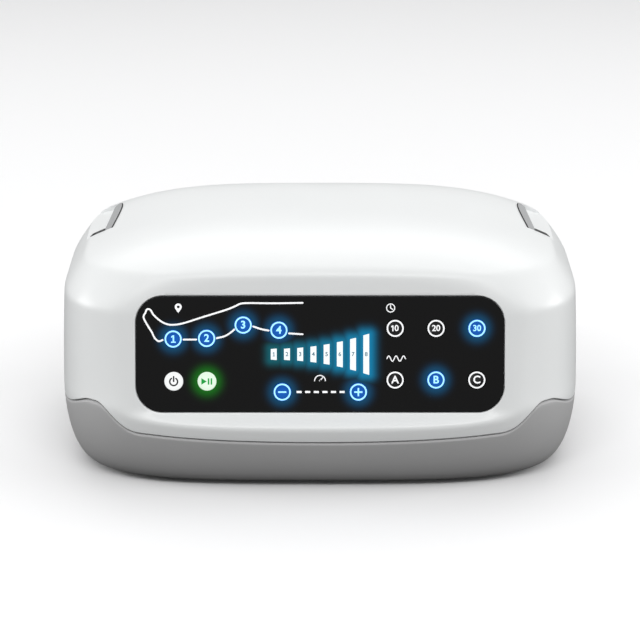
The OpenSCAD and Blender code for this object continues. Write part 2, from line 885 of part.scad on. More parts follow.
module air_tube(length) {
    difference() {
        cylinder(d = tube_od, h = length);
        translate([0, 0, -1]) cylinder(d = stub_d + 2 * tube_fit, h = length + 2);
    }
}
socket_stub_y = rear_flat_y - rear_plate_t - socket_in - stub_l;
manifold_stub_y = manifold_y + manifold_d / 2 + stub_l;
module port_tubes() {
    start = manifold_stub_y - tube_grip;
    color("#E9EDF0")
        for (side = [-1, 1], i = [0 : port_count - 1])
            translate([side * socket_x + port_x(i), start, z0 + rear_plate_z])
                rotate([-90, 0, 0])
                    air_tube(socket_stub_y + tube_grip - start);
}

outlet_x = 37;
head_out_y = pump_y + head_d / 2;
supply_z = z0 + rear_plate_z;
module supply_tubes() {
    start = head_out_y + stub_l - tube_grip;
    color("#E9EDF0")
        for (side = [-1, 1])
            translate([pump_x + side * outlet_x, start, supply_z])
                rotate([-90, 0, 0])
                    air_tube(manifold_y - manifold_d / 2 - stub_l + tube_grip - start);
}

// Compressor: two diaphragm heads driven by a magnet that swings between two cores
end_plate_x = pump_l / 2 - head_l - 3.5;
end_plate_t = 3.5;
chassis_w = 66;
magnet_w = 6;
core_gap = 1.6;
core_w = 34;
core_h = 26;
leg_l = 12;
leg_w = 6;
module at_pump() { translate([pump_x, pump_y, pump_axis_z]) children(); }

module compressor_chassis() {
    color("#B8BCC0") {
        translate([pump_x - pump_l / 2, pump_y - chassis_w / 2, pump_base_z])
            cube([pump_l, chassis_w, plate_t]);
        at_pump()
            for (side = [-1, 1])
                difference() {
                    translate([side * end_plate_x - end_plate_t / 2, -head_d / 2 - 2,
                               pump_base_z - pump_axis_z + 1])
                        cube([end_plate_t, head_d + 4, pump_axis_z - pump_base_z + head_d / 2 + 1]);
                    translate([side * end_plate_x - end_plate_t, 0, 0])
                        rotate([0, 90, 0]) cylinder(d = head_d - 12, h = 2 * end_plate_t);
                }
    }
}

module core_outline() {
    back = magnet_w / 2 + core_gap + leg_l;
    difference() {
        translate([-core_w / 2, magnet_w / 2 + core_gap]) square([core_w, leg_l + leg_w]);
        for (side = [-1, 1])
            translate([side * (leg_w / 2 + 4) - 4, magnet_w / 2 + core_gap - 1])
                square([8, back - magnet_w / 2 - core_gap + 1]);
    }
}
module compressor_cores() {
    color("#7A7D80")
        at_pump()
            for (side = [0, 180])
                rotate([0, 0, side]) {
                    translate([0, 0, -core_h / 2]) linear_extrude(core_h) core_outline();
                    translate([-core_w / 2, magnet_w / 2 + core_gap + leg_l,
                               pump_base_z + plate_t - pump_axis_z])
                        cube([core_w, leg_w, pump_axis_z - pump_base_z - plate_t]);
                }
}
coil_gap = 0.2;
module compressor_coils() {
    color("#B4672F")
        at_pump()
            for (side = [0, 180])
                rotate([0, 0, side])
                    translate([0, magnet_w / 2 + core_gap + 1, 0])
                        rotate([-90, 0, 0])
                            linear_extrude(leg_l - 1 - coil_gap)
                                difference() {
                                    square([leg_w + 15, core_h + 14], center = true);
                                    square([leg_w + 2 * coil_gap, core_h + 2 * coil_gap],
                                           center = true);
                                }
}

rod_d = 5;
clamp_d = 18;
clamp_t = 1.5;
diaphragm_t = 1.2;
diaphragm_x = end_plate_x + end_plate_t / 2;
module compressor_armature() {
    color("#8F9499")
        at_pump() {
            translate([-core_w / 2 + 1, -magnet_w / 2, -core_h / 2 + 1])
                cube([core_w - 2, magnet_w, core_h - 2]);
            translate([-diaphragm_x - 4, 0, 0])
                rotate([0, 90, 0]) cylinder(d = rod_d, h = 2 * diaphragm_x + 8);
            for (side = [-1, 1], face = [-1, 1])
                translate([side * (diaphragm_x + diaphragm_t / 2
                                   + face * (diaphragm_t / 2 + clamp_t / 2 + 0.1)) - clamp_t / 2, 0, 0])
                    rotate([0, 90, 0]) cylinder(d = clamp_d, h = clamp_t);
        }
}
module compressor_diaphragms() {
    color("#26282A")
        at_pump()
            for (side = [-1, 1])
                translate([side * diaphragm_x - (side < 0 ? diaphragm_t : 0), 0, 0])
                    rotate([0, 90, 0])
                        difference() {
                            cylinder(d = head_d, h = diaphragm_t);
                            translate([0, 0, -1]) cylinder(d = rod_d + 0.1, h = diaphragm_t + 2);
                        }
}
module compressor_heads() {
    chamber_d = head_d - 12;
    chamber_l = 8;
    nozzle_rise = supply_z - pump_axis_z;
    color("#5B6066")
        at_pump()
            for (side = [-1, 1])
                mirror([side < 0 ? 1 : 0, 0, 0])
                    difference() {
                        union() {
                            translate([diaphragm_x + diaphragm_t, 0, 0])
                                rotate([0, 90, 0]) cylinder(d = head_d, h = head_l);
                            translate([outlet_x - 4, -4, 0])
                                cube([8, head_d / 2 + 4, nozzle_rise + 4]);
                            translate([outlet_x, head_d / 2 - 1, nozzle_rise])
                                rotate([-90, 0, 0]) cylinder(d = stub_d, h = stub_l + 1);
                        }
                        translate([diaphragm_x, 0, 0])
                            rotate([0, 90, 0]) cylinder(d = chamber_d, h = chamber_l);
                        translate([outlet_x, 4, nozzle_rise])
                            rotate([-90, 0, 0]) cylinder(d = stub_bore, h = head_d);
                    }
}
module compressor_mounts() {
    color("#1F2022")
        translate([pump_x, pump_y, pump_base_z - mount_h])
            four_corners(pump_post_x, pump_post_y)
                rotate_extrude()
                    polygon([[0, 0], [5, 0], [3.6, mount_h / 2], [5, mount_h], [0, mount_h]]);
}

module intake_filter() {
    color("#6B7075")
        translate([filter_x, filter_y, floor_z]) {
            difference() {
                cylinder(d = filter_d, h = filter_h);
                translate([0, 0, -1]) cylinder(d = filter_hole, h = filter_core);
            }
            translate([0, 0, filter_h - 1]) cylinder(d = stub_d, h = stub_l - 1);
        }
}

module main_board() {
    color("#1E6B3C")
        translate([main_board_x - main_board_w / 2, main_board_y - main_board_d / 2, main_board_z])
            cube([main_board_w, main_board_d, board_t]);
}
// Parts on the main board: [x, y, diameter, height] and [x, y, width, depth, height]
board_cans = [[-24, -26, 10, 18], [-24, -12, 10, 18], [-24, 2, 10, 18], [16, 20, 12, 8]];
board_blocks = [[2, -32, 26, 12, 8], [-28, 16, 14, 14, 2.4], [-8, 18, 18, 8, 10]];
module board_components() {
    color("#2F3236")
        translate([main_board_x, main_board_y, main_board_z + board_t]) {
            for (can = board_cans)
                translate([can[0], can[1], 0]) cylinder(d = can[2], h = can[3]);
            for (block = board_blocks)
                translate([block[0], block[1], 0]) cube([block[2], block[3], block[4]]);
        }
}
transformer_w = 34;
transformer_d = 28;
transformer_h = 26;
module mains_transformer() {
    color("#4A4438")
        translate([main_board_x + 8, main_board_y, main_board_z + board_t]) {
            translate([-transformer_w / 2, -8, 0]) cube([transformer_w, 16, transformer_h]);
            translate([-transformer_w / 2 + 6, -transformer_d / 2, 3])
                cube([transformer_w - 12, transformer_d, transformer_h - 6]);
        }
}
module remote_receiver() {
    color("#18191B")
        on_panel()
            translate([0, 20, board_face + 3]) cube([6, 5, 6], center = true);
}

module housing_screws() {
    color("silver")
        four_corners(boss_x, boss_y) {
            translate([0, 0, screw_sink - screw_head_h]) cylinder(d = screw_head_d, h = screw_head_h);
            translate([0, 0, screw_sink - 1])
                cylinder(d = screw_d - 0.5, h = boss_split_z + screw_bite - screw_sink + 1);
        }
}
module rubber_feet() {
    color("#2A2B2D")
        four_corners(foot_x, foot_y)
            rotate_extrude()
                polygon([[0, 0], [foot_d / 2 - 1, 0], [foot_d / 2, 1],
                         [foot_d / 2, z0 + foot_seat], [0, z0 + foot_seat]]);
}

upper_housing();
lower_housing();
control_panel();
pressure_lights();
key("key_zone_1", key_blue);  // key_zone_1
key("key_zone_2", key_blue);  // key_zone_2
key("key_zone_3", key_blue);  // key_zone_3
key("key_zone_4", key_blue);  // key_zone_4
key("key_power", "white");  // key_power
key("key_start_pause", "white");  // key_start_pause
key("key_minus", key_blue);  // key_minus
key("key_plus", key_blue);  // key_plus
key("key_time_10", panel_black);  // key_time_10
key("key_time_20", panel_black);  // key_time_20
key("key_time_30", key_blue);  // key_time_30
key("key_mode_a", panel_black);  // key_mode_a
key("key_mode_b", key_blue);  // key_mode_b
key("key_mode_c", panel_black);  // key_mode_c
key_board();
key_switches();
display_leds();
board_screws();
grip_liner_left();
grip_liner_right();
rear_plate();
hose_socket_left();
hose_socket_right();
mains_inlet();
inlet_pins();
valve_manifold();
solenoid_valves();
port_tubes();
supply_tubes();
compressor_chassis();
compressor_cores();
compressor_coils();
compressor_armature();
compressor_diaphragms();
compressor_heads();
compressor_mounts();
intake_filter();
main_board();
board_components();
mains_transformer();
remote_receiver();
housing_screws();
rubber_feet();
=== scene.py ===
"""Looks of a compression therapy pump, built round its packed construction model.

Sizes are in millimetres unless a name says otherwise, and meshes are made in metres.
"""
import logging
import math
from collections.abc import Callable, Sequence
from dataclasses import dataclass
from enum import Enum
from functools import cache, cached_property
from typing import Any

import bmesh
import bpy
import numpy as np
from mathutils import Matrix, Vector


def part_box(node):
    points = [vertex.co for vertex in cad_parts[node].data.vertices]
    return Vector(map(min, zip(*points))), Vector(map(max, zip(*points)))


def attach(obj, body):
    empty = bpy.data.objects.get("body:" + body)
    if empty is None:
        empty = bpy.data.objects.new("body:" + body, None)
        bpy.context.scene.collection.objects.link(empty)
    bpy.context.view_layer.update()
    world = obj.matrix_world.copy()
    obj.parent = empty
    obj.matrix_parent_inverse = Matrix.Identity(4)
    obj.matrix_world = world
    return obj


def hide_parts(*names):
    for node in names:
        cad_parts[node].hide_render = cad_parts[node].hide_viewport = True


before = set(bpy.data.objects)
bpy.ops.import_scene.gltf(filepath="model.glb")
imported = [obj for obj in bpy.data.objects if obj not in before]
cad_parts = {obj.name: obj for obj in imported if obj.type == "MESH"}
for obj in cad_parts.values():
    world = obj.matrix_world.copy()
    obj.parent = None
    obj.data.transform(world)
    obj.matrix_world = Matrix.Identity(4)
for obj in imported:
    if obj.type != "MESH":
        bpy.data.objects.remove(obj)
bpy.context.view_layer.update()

LOG = logging.getLogger("pump")
MM = 0.001
ARC_STEPS, CROWN_STEPS, PLAN_STEPS = 80, 400, 800
POLE_SHARE = 0.985
FLAT_Y, FLAT_Z, FLAT_TILT, FLAT_MARGIN = -84.8, 64.5, math.radians(14.6), 1.2
PLATE_Y, PLATE_Z = 88.0, 61.0
FLOOR_SEEN, FLOOR_CAST = (0.90, 0.90, 0.905), (0.10, 0.10, 0.10)
SKY_CAST, SKY_SEEN = 0.48, 1.0
HOUSING = "housing"
SMOOTH_ANGLE, CAP_ANGLE, BEVEL_ANGLE = (math.radians(angle) for angle in (30, 40, 40))


def node_box(node: str) -> tuple[np.ndarray, np.ndarray]:
    """Lowest and highest corner of a construction node, in millimetres."""
    low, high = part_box(node)
    return np.array(low) / MM, np.array(high) / MM


def smooth_min(a: np.ndarray, b: np.ndarray, soft: float) -> np.ndarray:
    """The lesser of two heights, with the crease between them rounded.

    Args:
        a: First height.
        b: Second height.
        soft: Difference in height below which the crease is rounded.

    Returns:
        The rounded minimum.
    """
    near = np.maximum(soft - np.abs(a - b), 0) / soft
    return np.minimum(a, b) - near * near * soft / 4


# --- form of the housing


@dataclass(frozen=True)
class Plane:
    """A flat work plane in the pump's frame: u across, v up and w out of it."""

    origin: tuple[float, float, float]
    across: tuple[float, float, float]
    up: tuple[float, float, float]

    @property
    def axes(self) -> np.ndarray:
        """Directions across the plane, up it and out of it, as rows."""
        return np.array([self.across, self.up, np.cross(self.across, self.up)])

    def world(self, points: np.ndarray) -> np.ndarray:
        """Points of the plane, as u, v and w, in the pump's frame."""
        return np.asarray(points, float) @ self.axes + np.array(self.origin)

    def local(self, points: np.ndarray) -> np.ndarray:
        """Points of the pump's frame as u, v and w of the plane."""
        return (np.asarray(points, float) - np.array(self.origin)) @ self.axes.T


@dataclass(frozen=True)
class BodyForm:
    """Outside form of the housing: a squared oval that swells, leans in and is crowned."""

    half_width: float
    half_depth: float
    height: float
    foot_gap: float
    front: Plane
    flat_low: float
    squareness: float = 4.4
    front_bow: float = 4.0
    rear_bow: float = 8.0
    hull_height: float = 38.0
    hull_draw: float = 13.0
    shoulder_height: float = 84.0
    crown_height: float = 101.0
    shoulder_draw: float = 11.0
    shoulder_end_draw: float = 10.0
    front_lean: float = 12.0
    rear_lean: float = 6.0
    lean_power: float = 0.85
    shoulder_power: float = 1.2
    crown_power: float = 3.4
    shelf_slope: float = math.radians(42)
    crease: float = 3.0
    step: float = 0.25
    soften: float = 1.1

    @cached_property
    def profile(self) -> np.ndarray:
        """Rows of height, half width, front reach and back reach, from foot to crown."""
        turn = np.linspace(0, math.pi / 2, ARC_STEPS)
        draw = self.hull_draw * (1 - np.sin(turn))
        hull = np.stack([self.hull_height * (1 - np.cos(turn)), self.half_width - draw,
                         self.half_depth - draw, self.half_depth - draw], 1)
        t = np.linspace(0, 1, ARC_STEPS)[1:]
        wall = np.stack([self.hull_height + (self.shoulder_height - self.hull_height) * t,
                         self.half_width - t * t,
                         self.half_depth - self.front_lean * t ** self.lean_power,
                         self.half_depth - self.rear_lean * t * t], 1)
        lean = t ** self.shoulder_power
        shoulder = np.stack([self.shoulder_height + (self.crown_height - self.shoulder_height) * t,
                             wall[-1, 1] - self.shoulder_draw * lean,
                             wall[-1, 2] - self.shoulder_end_draw * lean,
                             wall[-1, 3] - self.shoulder_end_draw * lean], 1)
        s = np.linspace(1, 0, CROWN_STEPS)[1:]
        rise = (self.height - self.crown_height) * (1 - s ** self.crown_power)
        crown = np.stack([self.crown_height + rise, *(shoulder[-1, k] * s for k in (1, 2, 3))], 1)
        rows = np.concatenate([hull, wall, shoulder, crown])
        length = np.concatenate([[0], np.cumsum(np.hypot(*np.diff(rows[:, :2], axis=0).T))])
        even = np.arange(0, length[-1], self.step)
        rows = np.stack([np.interp(even, length, rows[:, k]) for k in range(4)], 1)
        return self._softened(rows)

    def _softened(self, rows: np.ndarray) -> np.ndarray:
        """The profile with its kinks rounded, and its two ends as they were."""
        reach = int(3 * self.soften / self.step)
        spread = np.exp(-0.5 * (np.arange(-reach, reach + 1) * self.step / self.soften) ** 2)
        spread /= spread.sum()
        padded = np.pad(rows, ((reach, reach), (0, 0)), mode="edge")
        soft = np.stack([np.convolve(padded[:, k], spread, "valid") for k in range(4)], 1)
        index = np.arange(len(rows))
        share = np.clip(np.minimum(index, len(rows) - 1 - index) / reach - 1, 0, 1)[:, None]
        return rows * (1 - share) + soft * share

    @property
    def top_level(self) -> float:
        """Length of the profile from the foot to the crown's middle."""
        return (len(self.profile) - 1) * self.step

    def at(self, level: np.ndarray) -> tuple[np.ndarray, ...]:
        """Height, half width, front reach and back reach at places along the profile."""
        index = np.asarray(level, float) / self.step
        known = np.arange(len(self.profile))
        return tuple(np.interp(index, known, self.profile[:, k]) for k in range(4))

    def level_of(self, height: np.ndarray) -> np.ndarray:
        """Place along the profile that lies at a height above the housing's underside."""
        return np.interp(height, self.profile[:, 0], np.arange(len(self.profile)) * self.step)

    def columns(self, per_quarter: int) -> tuple[np.ndarray, np.ndarray]:
        """Evenly spaced places round the outline, as shares of the half width and the reach."""
        n = self.squareness
        corner = 0.5 ** (1 / n)
        run = np.linspace(0, corner, PLAN_STEPS)
        bent = (1 - run ** n) ** (1 / n)
        across = np.concatenate([bent, run[::-1][1:]])
        along = np.concatenate([run, bent[::-1][1:]])
        steps = np.hypot(np.diff(across) * self.half_width, np.diff(along) * self.half_depth)
        length = np.concatenate([[0], np.cumsum(steps)])
        even = np.linspace(0, length[-1], per_quarter + 1)
        a, b = np.interp(even, length, across), np.interp(even, length, along)
        gauge = (a ** n + b ** n) ** (1 / n)
        a, b = a / gauge, b / gauge
        turns = [(a, b), (-a[::-1], b[::-1]), (-a, -b), (a[::-1], -b[::-1])]
        return (np.concatenate([x[:-1] for x, _ in turns]),
                np.concatenate([y[:-1] for _, y in turns]))

    def place(self, across: np.ndarray, along: np.ndarray, level: np.ndarray,
              inset: float = 0.0) -> np.ndarray:
        """Points of the outside, or of a wall inside it.

        Args:
            across: Share of the half width.
            along: Share of the reach to the front, below zero, or the back.
            level: Place along the profile.
            inset: Distance inside the outer surface.

        Returns:
            Points in the pump's frame.
        """
        height, half, front, back = self.at(level)
        bow = np.where(along < 0, self.front_bow, self.rear_bow)
        bow = bow * (across * half / self.half_width) ** 2
        reach = np.maximum(np.where(along < 0, front, back) - bow - inset, 0)
        squeeze = (self.height - 2 * inset) / self.height
        z = self.foot_gap + inset + height * squeeze
        points = np.stack([across * np.maximum(half - inset, 0), along * reach, z + 0 * across], -1)
        return self._flattened(points, inset)

    def _flattened(self, points: np.ndarray, inset: float) -> np.ndarray:
        """Points that lie outside the front flat, pressed back onto it and its sloping shelf."""
        local = self.front.local(points)
        v, w = local[..., 1], local[..., 2]
        shelf = (self.flat_low - inset - v) / math.tan(self.shelf_slope)
        limit = -smooth_min(-shelf, np.zeros_like(shelf), self.crease) - inset
        local[..., 2] = smooth_min(w, limit, self.crease)
        return self.front.world(local)

    def solid(self, inset: float, per_quarter: int = 60, rows: int = 90) -> "Solid":
        """The whole body as one closed solid, drawn in by an inset."""
        across, along = self.columns(per_quarter)
        levels = np.linspace(0, self.top_level * POLE_SHARE, rows)
        return Solid.stack([self.place(across, along, level + 0 * across, inset)
                            for level in levels], poles=True)

    def crown_top(self, x: float, y: float) -> float:
        """Height of the crowned top above a point of the plan."""
        foot = self.at(self.level_of(self.crown_height))
        bow = (self.front_bow if y < 0 else self.rear_bow) * (x / self.half_width) ** 2
        reach = (foot[2] if y < 0 else foot[3]) - bow
        n = self.squareness
        s = (abs(x / foot[1]) ** n + abs(y / reach) ** n) ** (1 / n)
        rise = (self.height - self.crown_height) * (1 - s ** self.crown_power)
        return float(self.foot_gap + self.crown_height + rise)

    def back_surface(self, x: np.ndarray, z: np.ndarray) -> np.ndarray:
        """Distance of the rear surface behind the middle, above points of the back."""
        _, half, _, back = self.at(self.level_of(np.asarray(z) - self.foot_gap))
        bow = self.rear_bow * (x / self.half_width) ** 2
        n = self.squareness
        return (back - bow) * (1 - np.abs(x / half) ** n) ** (1 / n)


@dataclass(frozen=True)
class Seam:
    """Line where the upper housing meets the lower one: low in front and high at the corners."""

    half_width: float
    front_height: float = 25.8
    corner_height: float = 41.8
    turn_x: float = 84.0
    turn_width: float = 26.0
    crest: float = 3.0
    fall: float = 7.5
    arch: float = 2.6
    climb_power: float = 1.65
    gap: float = 0.7
    edge: float = 0.8
    lip_height: float = 4.0
    lip_thickness: float = 1.5
    lip_gap: float = 0.25
    lip_root: float = 3.0

    def height(self, x: np.ndarray) -> np.ndarray:
        """Height of the seam above the floor, at a distance from the middle."""
        def eased(start: float, run: float, power: float = 1.0) -> np.ndarray:
            """Smooth step from 0 to 1 along the distance from the middle."""
            t = np.clip((np.abs(x) - start) / run, 0, 1) ** power
            return t * t * (3 - 2 * t)
        fall_x = self.turn_x + self.turn_width + self.crest
        share = np.minimum(np.abs(x), self.turn_x) / self.turn_x
        low = self.front_height + self.arch * share ** 2
        climb = eased(self.turn_x, self.turn_width, self.climb_power)
        return (low + (self.corner_height - low) * climb
                - self.fall * eased(fall_x, self.half_width - fall_x))

    def levels(self, form: BodyForm, across: np.ndarray, shift: float) -> np.ndarray:
        """Place of the seam along the profile in each column, moved up by a shift."""
        level = np.full(len(across), float(form.level_of(self.corner_height)))
        for _ in range(8):
            half = form.at(level)[1]
            level = form.level_of(self.height(across * half) + shift - form.foot_gap)
        return level


# --- meshes


@dataclass
class Solid:
    """A closed mesh in the making, in millimetres."""

    points: np.ndarray
    faces: list[tuple[int, ...]]

    @staticmethod
    def stack(rings: Sequence[np.ndarray], poles: bool = False) -> "Solid":
        """Closed solid through outlines of as many points each.

        Args:
            rings: The outlines, from one end to the other.
            poles: Whether each end closes in a fan about its middle, and isn't one flat face.

        Returns:
            The solid.
        """
        count = len(rings[0])
        last = (len(rings) - 1) * count
        sides = [(i, (i + 1) % count) for i in range(count)]
        walls = [(base + a, base + b, base + count + b, base + count + a)
                 for base in range(0, last, count) for a, b in sides]
        if not poles:
            ends = tuple(range(count - 1, -1, -1)), tuple(range(last, last + count))
            return Solid(np.concatenate(rings), [ends[0], *walls, ends[1]])
        low, high = last + count, last + count + 1
        points = np.concatenate([*rings, [np.mean(rings[0], 0)], [np.mean(rings[-1], 0)]])
        return Solid(points, [*((low, b, a) for a, b in sides), *walls,
                              *((last + a, last + b, high) for a, b in sides)])

    @staticmethod
    def joined(parts: Sequence["Solid"]) -> "Solid":
        """Several solids as one mesh."""
        start, points, faces = 0, [], []
        for part in parts:
            points.append(part.points)
            faces += [tuple(start + i for i in face) for face in part.faces]
            start += len(part.points)
        return Solid(np.concatenate(points), faces)

    def mirrored(self) -> "Solid":
        """The same solid on the other side of the middle plane."""
        flip = self.points * np.array([-1, 1, 1])
        return Solid(flip, [tuple(reversed(face)) for face in self.faces])

    def moved(self, x: float, y: float) -> "Solid":
        """The same solid, moved level."""
        return Solid(self.points + np.array([x, y, 0]), self.faces)

    def seated(self, plane: Plane) -> "Solid":
        """The solid whose points are u, v and w of a plane, in the pump's frame."""
        return Solid(plane.world(self.points), self.faces)

    def mesh(self, name: str) -> bpy.types.Mesh:
        """The solid as a Blender mesh, in metres."""
        mesh = bpy.data.meshes.new(name)
        mesh.from_pydata((self.points * MM).tolist(), [], self.faces)
        mesh.update()
        return mesh


def new_object(name: str, shape: Solid | bpy.types.Mesh) -> bpy.types.Object:
    """A linked object that holds a solid or a mesh."""
    mesh = shape.mesh(name) if isinstance(shape, Solid) else shape
    item = bpy.data.objects.new(name, mesh)
    bpy.context.scene.collection.objects.link(item)
    return item


class Cut(Enum):
    """What a tool solid does to a workpiece."""

    JOIN = "UNION"
    REMOVE = "DIFFERENCE"
    KEEP = "INTERSECT"


def machine(work: bpy.types.Object, steps: Sequence[tuple[Cut, Solid | bpy.types.Object]]) -> None:
    """Joins tools to a workpiece, removes them from it or keeps what they share, for good.

    Args:
        work: The workpiece.
        steps: What to do and with which solid or object, in order. Each is used up.
    """
    tools = []
    for cut, given in steps:
        tool = new_object(f"tool_{len(tools)}", given) if isinstance(given, Solid) else given
        change = work.modifiers.new(cut.name.lower(), "BOOLEAN")
        change.operation = cut.value
        change.solver = "MANIFOLD"
        change.object = tool
        tools.append(tool)
    bpy.context.view_layer.update()
    settled = work.evaluated_get(bpy.context.evaluated_depsgraph_get())
    mesh = bpy.data.meshes.new_from_object(settled)
    work.modifiers.clear()
    old, work.data = work.data, mesh
    mesh.name = work.name
    bpy.data.meshes.remove(old)
    for tool in tools:
        bpy.data.meshes.remove(tool.data)


def shade_smooth(item: bpy.types.Object, angle: float) -> None:
    """Smooth shading that keeps edges sharper than an angle, and large faces even."""
    item.data.shade_smooth()
    item.data.set_sharp_from_angle(angle=angle)
    item.modifiers.new("even_normals", "WEIGHTED_NORMAL").keep_sharp = True


def rounded_outline(width: float, height: float, radius: float, grow: float = 0.0,
                    steps: int = 12) -> np.ndarray:
    """Outline of a rounded rectangle, anticlockwise, as rows of u and v."""
    corners = [(1, 1), (-1, 1), (-1, -1), (1, -1)]
    points = []
    for k, (sx, sy) in enumerate(corners):
        turn = np.linspace(0, math.pi / 2, steps) + k * math.pi / 2
        points.append(np.stack([sx * (width / 2 - radius) + (radius + grow) * np.cos(turn),
                                sy * (height / 2 - radius) + (radius + grow) * np.sin(turn)], 1))
    return np.concatenate(points)


def circle_outline(radius: float, steps: int = 64) -> np.ndarray:
    """Outline of a circle, anticlockwise, as rows of u and v."""
    turn = np.linspace(0, 2 * math.pi, steps, endpoint=False)
    return np.stack([radius * np.cos(turn), radius * np.sin(turn)], 1)


def raised(outline: np.ndarray, height: float | np.ndarray) -> np.ndarray:
    """An outline with a height for each of its points."""
    return np.column_stack([outline, np.broadcast_to(height, len(outline))])


def round_over(radius: float, steps: int = 4) -> list[tuple[float, float]]:
    """Quarter round of an outer edge: how far it has grown and sunk, from the wall to the face."""
    turns = np.linspace(0, math.pi / 2, steps + 1)
    return [(radius * (1 - math.cos(a)), radius * (math.sin(a) - 1)) for a in turns]


def grown(outline: Callable[[float], np.ndarray], steps: Sequence[tuple[float, float]]) -> Solid:
    """Closed solid through one outline, at each step's growth and height."""
    return Solid.stack([raised(outline(grow), height) for grow, height in steps])


def revolved(profile: Sequence[tuple[float, float]], steps: int = 64) -> Solid:
    """Closed solid of revolution through radius and height pairs, from low to high."""
    return grown(lambda radius: circle_outline(radius, steps), profile)


# --- shader nodes


class Sheet:
    """Places and links the nodes of one shader tree."""

    def __init__(self, tree: bpy.types.NodeTree) -> None:
        """Starts on an empty tree."""
        self.tree = tree
        tree.nodes.clear()

    def add(self, kind: str, inputs: dict[str | int, Any] | None = None,
            **settings: Any) -> bpy.types.Node:
        """Adds a node.

        Args:
            kind: Node type without its ShaderNode prefix.
            inputs: Values or output sockets for its inputs, by name or number.
            settings: Properties of the node.

        Returns:
            The node.
        """
        prefix = "" if kind.startswith("NodeGroup") else "ShaderNode"
        node = self.tree.nodes.new(prefix + kind)
        node.location = (180 * (len(self.tree.nodes) % 12), -220 * (len(self.tree.nodes) // 12))
        for name, value in settings.items():
            setattr(node, name, value)
        for name, value in (inputs or {}).items():
            if isinstance(value, bpy.types.NodeSocket):
                self.tree.links.new(value, node.inputs[name])
            else:
                node.inputs[name].default_value = value
        return node

    def math(self, operation: str, a: Any, b: Any = 0.0,
             clamp: bool = False) -> bpy.types.NodeSocket:
        """Result of one sum of two values."""
        return self.add("Math", {0: a, 1: b}, operation=operation, use_clamp=clamp).outputs[0]

    def spread(self, value: Any, low: float, high: float, to_low: float = 0.0,
               to_high: float = 1.0) -> bpy.types.NodeSocket:
        """A value moved smoothly from one range to another."""
        node = self.add("MapRange", {"Value": value, "From Min": low, "From Max": high,
                                     "To Min": to_low, "To Max": to_high},
                        interpolation_type="SMOOTHSTEP")
        return node.outputs["Result"]

    def mix(self, share: Any, a: Any, b: Any, blend: str = "MIX") -> bpy.types.NodeSocket:
        """Colour between two colours."""
        return self.add("Mix", {0: share, 6: a, 7: b}, data_type="RGBA",
                        blend_type=blend).outputs[2]

    def place(self) -> bpy.types.NodeSocket:
        """Position on the piece, in metres of the pump's frame."""
        return self.add("TexCoord").outputs["Object"]

    def noise(self, scale: Any, detail: float, where: Any = None,
              distortion: float = 0.0) -> bpy.types.NodeSocket:
        """Noise over the piece, or over a given place."""
        return self.add("TexNoise", {"Vector": where or self.place(), "Scale": scale,
                                     "Detail": detail, "Distortion": distortion}).outputs[0]

    def lines(self, scale: tuple[float, ...], detail: float,
              turn: tuple[float, ...] = (0.0, 0.0, 0.0)) -> bpy.types.NodeSocket:
        """Noise that is drawn out into lines by a scale along each axis."""
        drawn = self.add("Mapping", {"Vector": self.place(), "Scale": scale, "Rotation": turn})
        return self.noise(1.0, detail, drawn.outputs[0])

    def group(self, shared: Callable[[], bpy.types.NodeTree],
              inputs: dict[str, Any]) -> bpy.types.bpy_prop_collection:
        """Places a shared effect and gives its output sockets."""
        return self.add("Group", inputs, node_tree=shared()).outputs


def effect(name: str, inputs: dict[str, float], *outputs: str) -> Callable[[Any], Any]:
    """Turns a drawing into a node group that several finishes share, built at its first use.

    Args:
        name: Name of the group.
        inputs: Names of its number inputs and their usual values.
        outputs: Names of its number outputs.

    Returns:
        A decorator. The drawing takes a sheet and the inputs' sockets, and gives the outputs'.
    """
    def shared(draw: Callable[[Sheet, Any], Sequence[Any]]) -> Callable[[], bpy.types.NodeTree]:
        """The drawing as something that gives the finished group."""
        @cache
        def built() -> bpy.types.NodeTree:
            """The finished group."""
            tree = bpy.data.node_groups.new(name, "ShaderNodeTree")
            for label, usual in inputs.items():
                tree.interface.new_socket(label, in_out="INPUT",
                                          socket_type="NodeSocketFloat").default_value = usual
            for label in outputs:
                tree.interface.new_socket(label, in_out="OUTPUT", socket_type="NodeSocketFloat")
            sheet = Sheet(tree)
            given, result = sheet.add("NodeGroupInput"), sheet.add("NodeGroupOutput")
            for label, socket in zip(outputs, draw(sheet, given.outputs)):
                tree.links.new(socket, result.inputs[label])
            return tree
        return built
    return shared


@effect("moulded_grain", {"Size": 0.6, "Swell": 30.0}, "Height", "Tone")
def skin_grain(sheet: Sheet, given: Any) -> Sequence[Any]:
    """Fine skin of a moulding: small pits over a slow swell."""
    return [sheet.noise(sheet.math("DIVIDE", 1 / MM, given[label]), detail)
            for label, detail in (("Size", 3.0), ("Swell", 2.0))]


@effect("handling_marks", {"Smears": 0.5, "Scuffs": 0.3}, "Rough")
def handling_marks(sheet: Sheet, given: Any) -> Sequence[Any]:
    """Faint smears and hairline scuffs left by hands and cloths."""
    smears = sheet.spread(sheet.noise(26.0, 4.0, distortion=0.6), 0.45, 0.7)
    scuffs = sheet.spread(sheet.lines((60.0, 900.0, 420.0), 2.0, (0.2, 0.5, 0.9)), 0.66, 0.74)
    return [sheet.math("ADD", sheet.math("MULTIPLY", smears, given["Smears"]),
                       sheet.math("MULTIPLY", scuffs, given["Scuffs"]))]


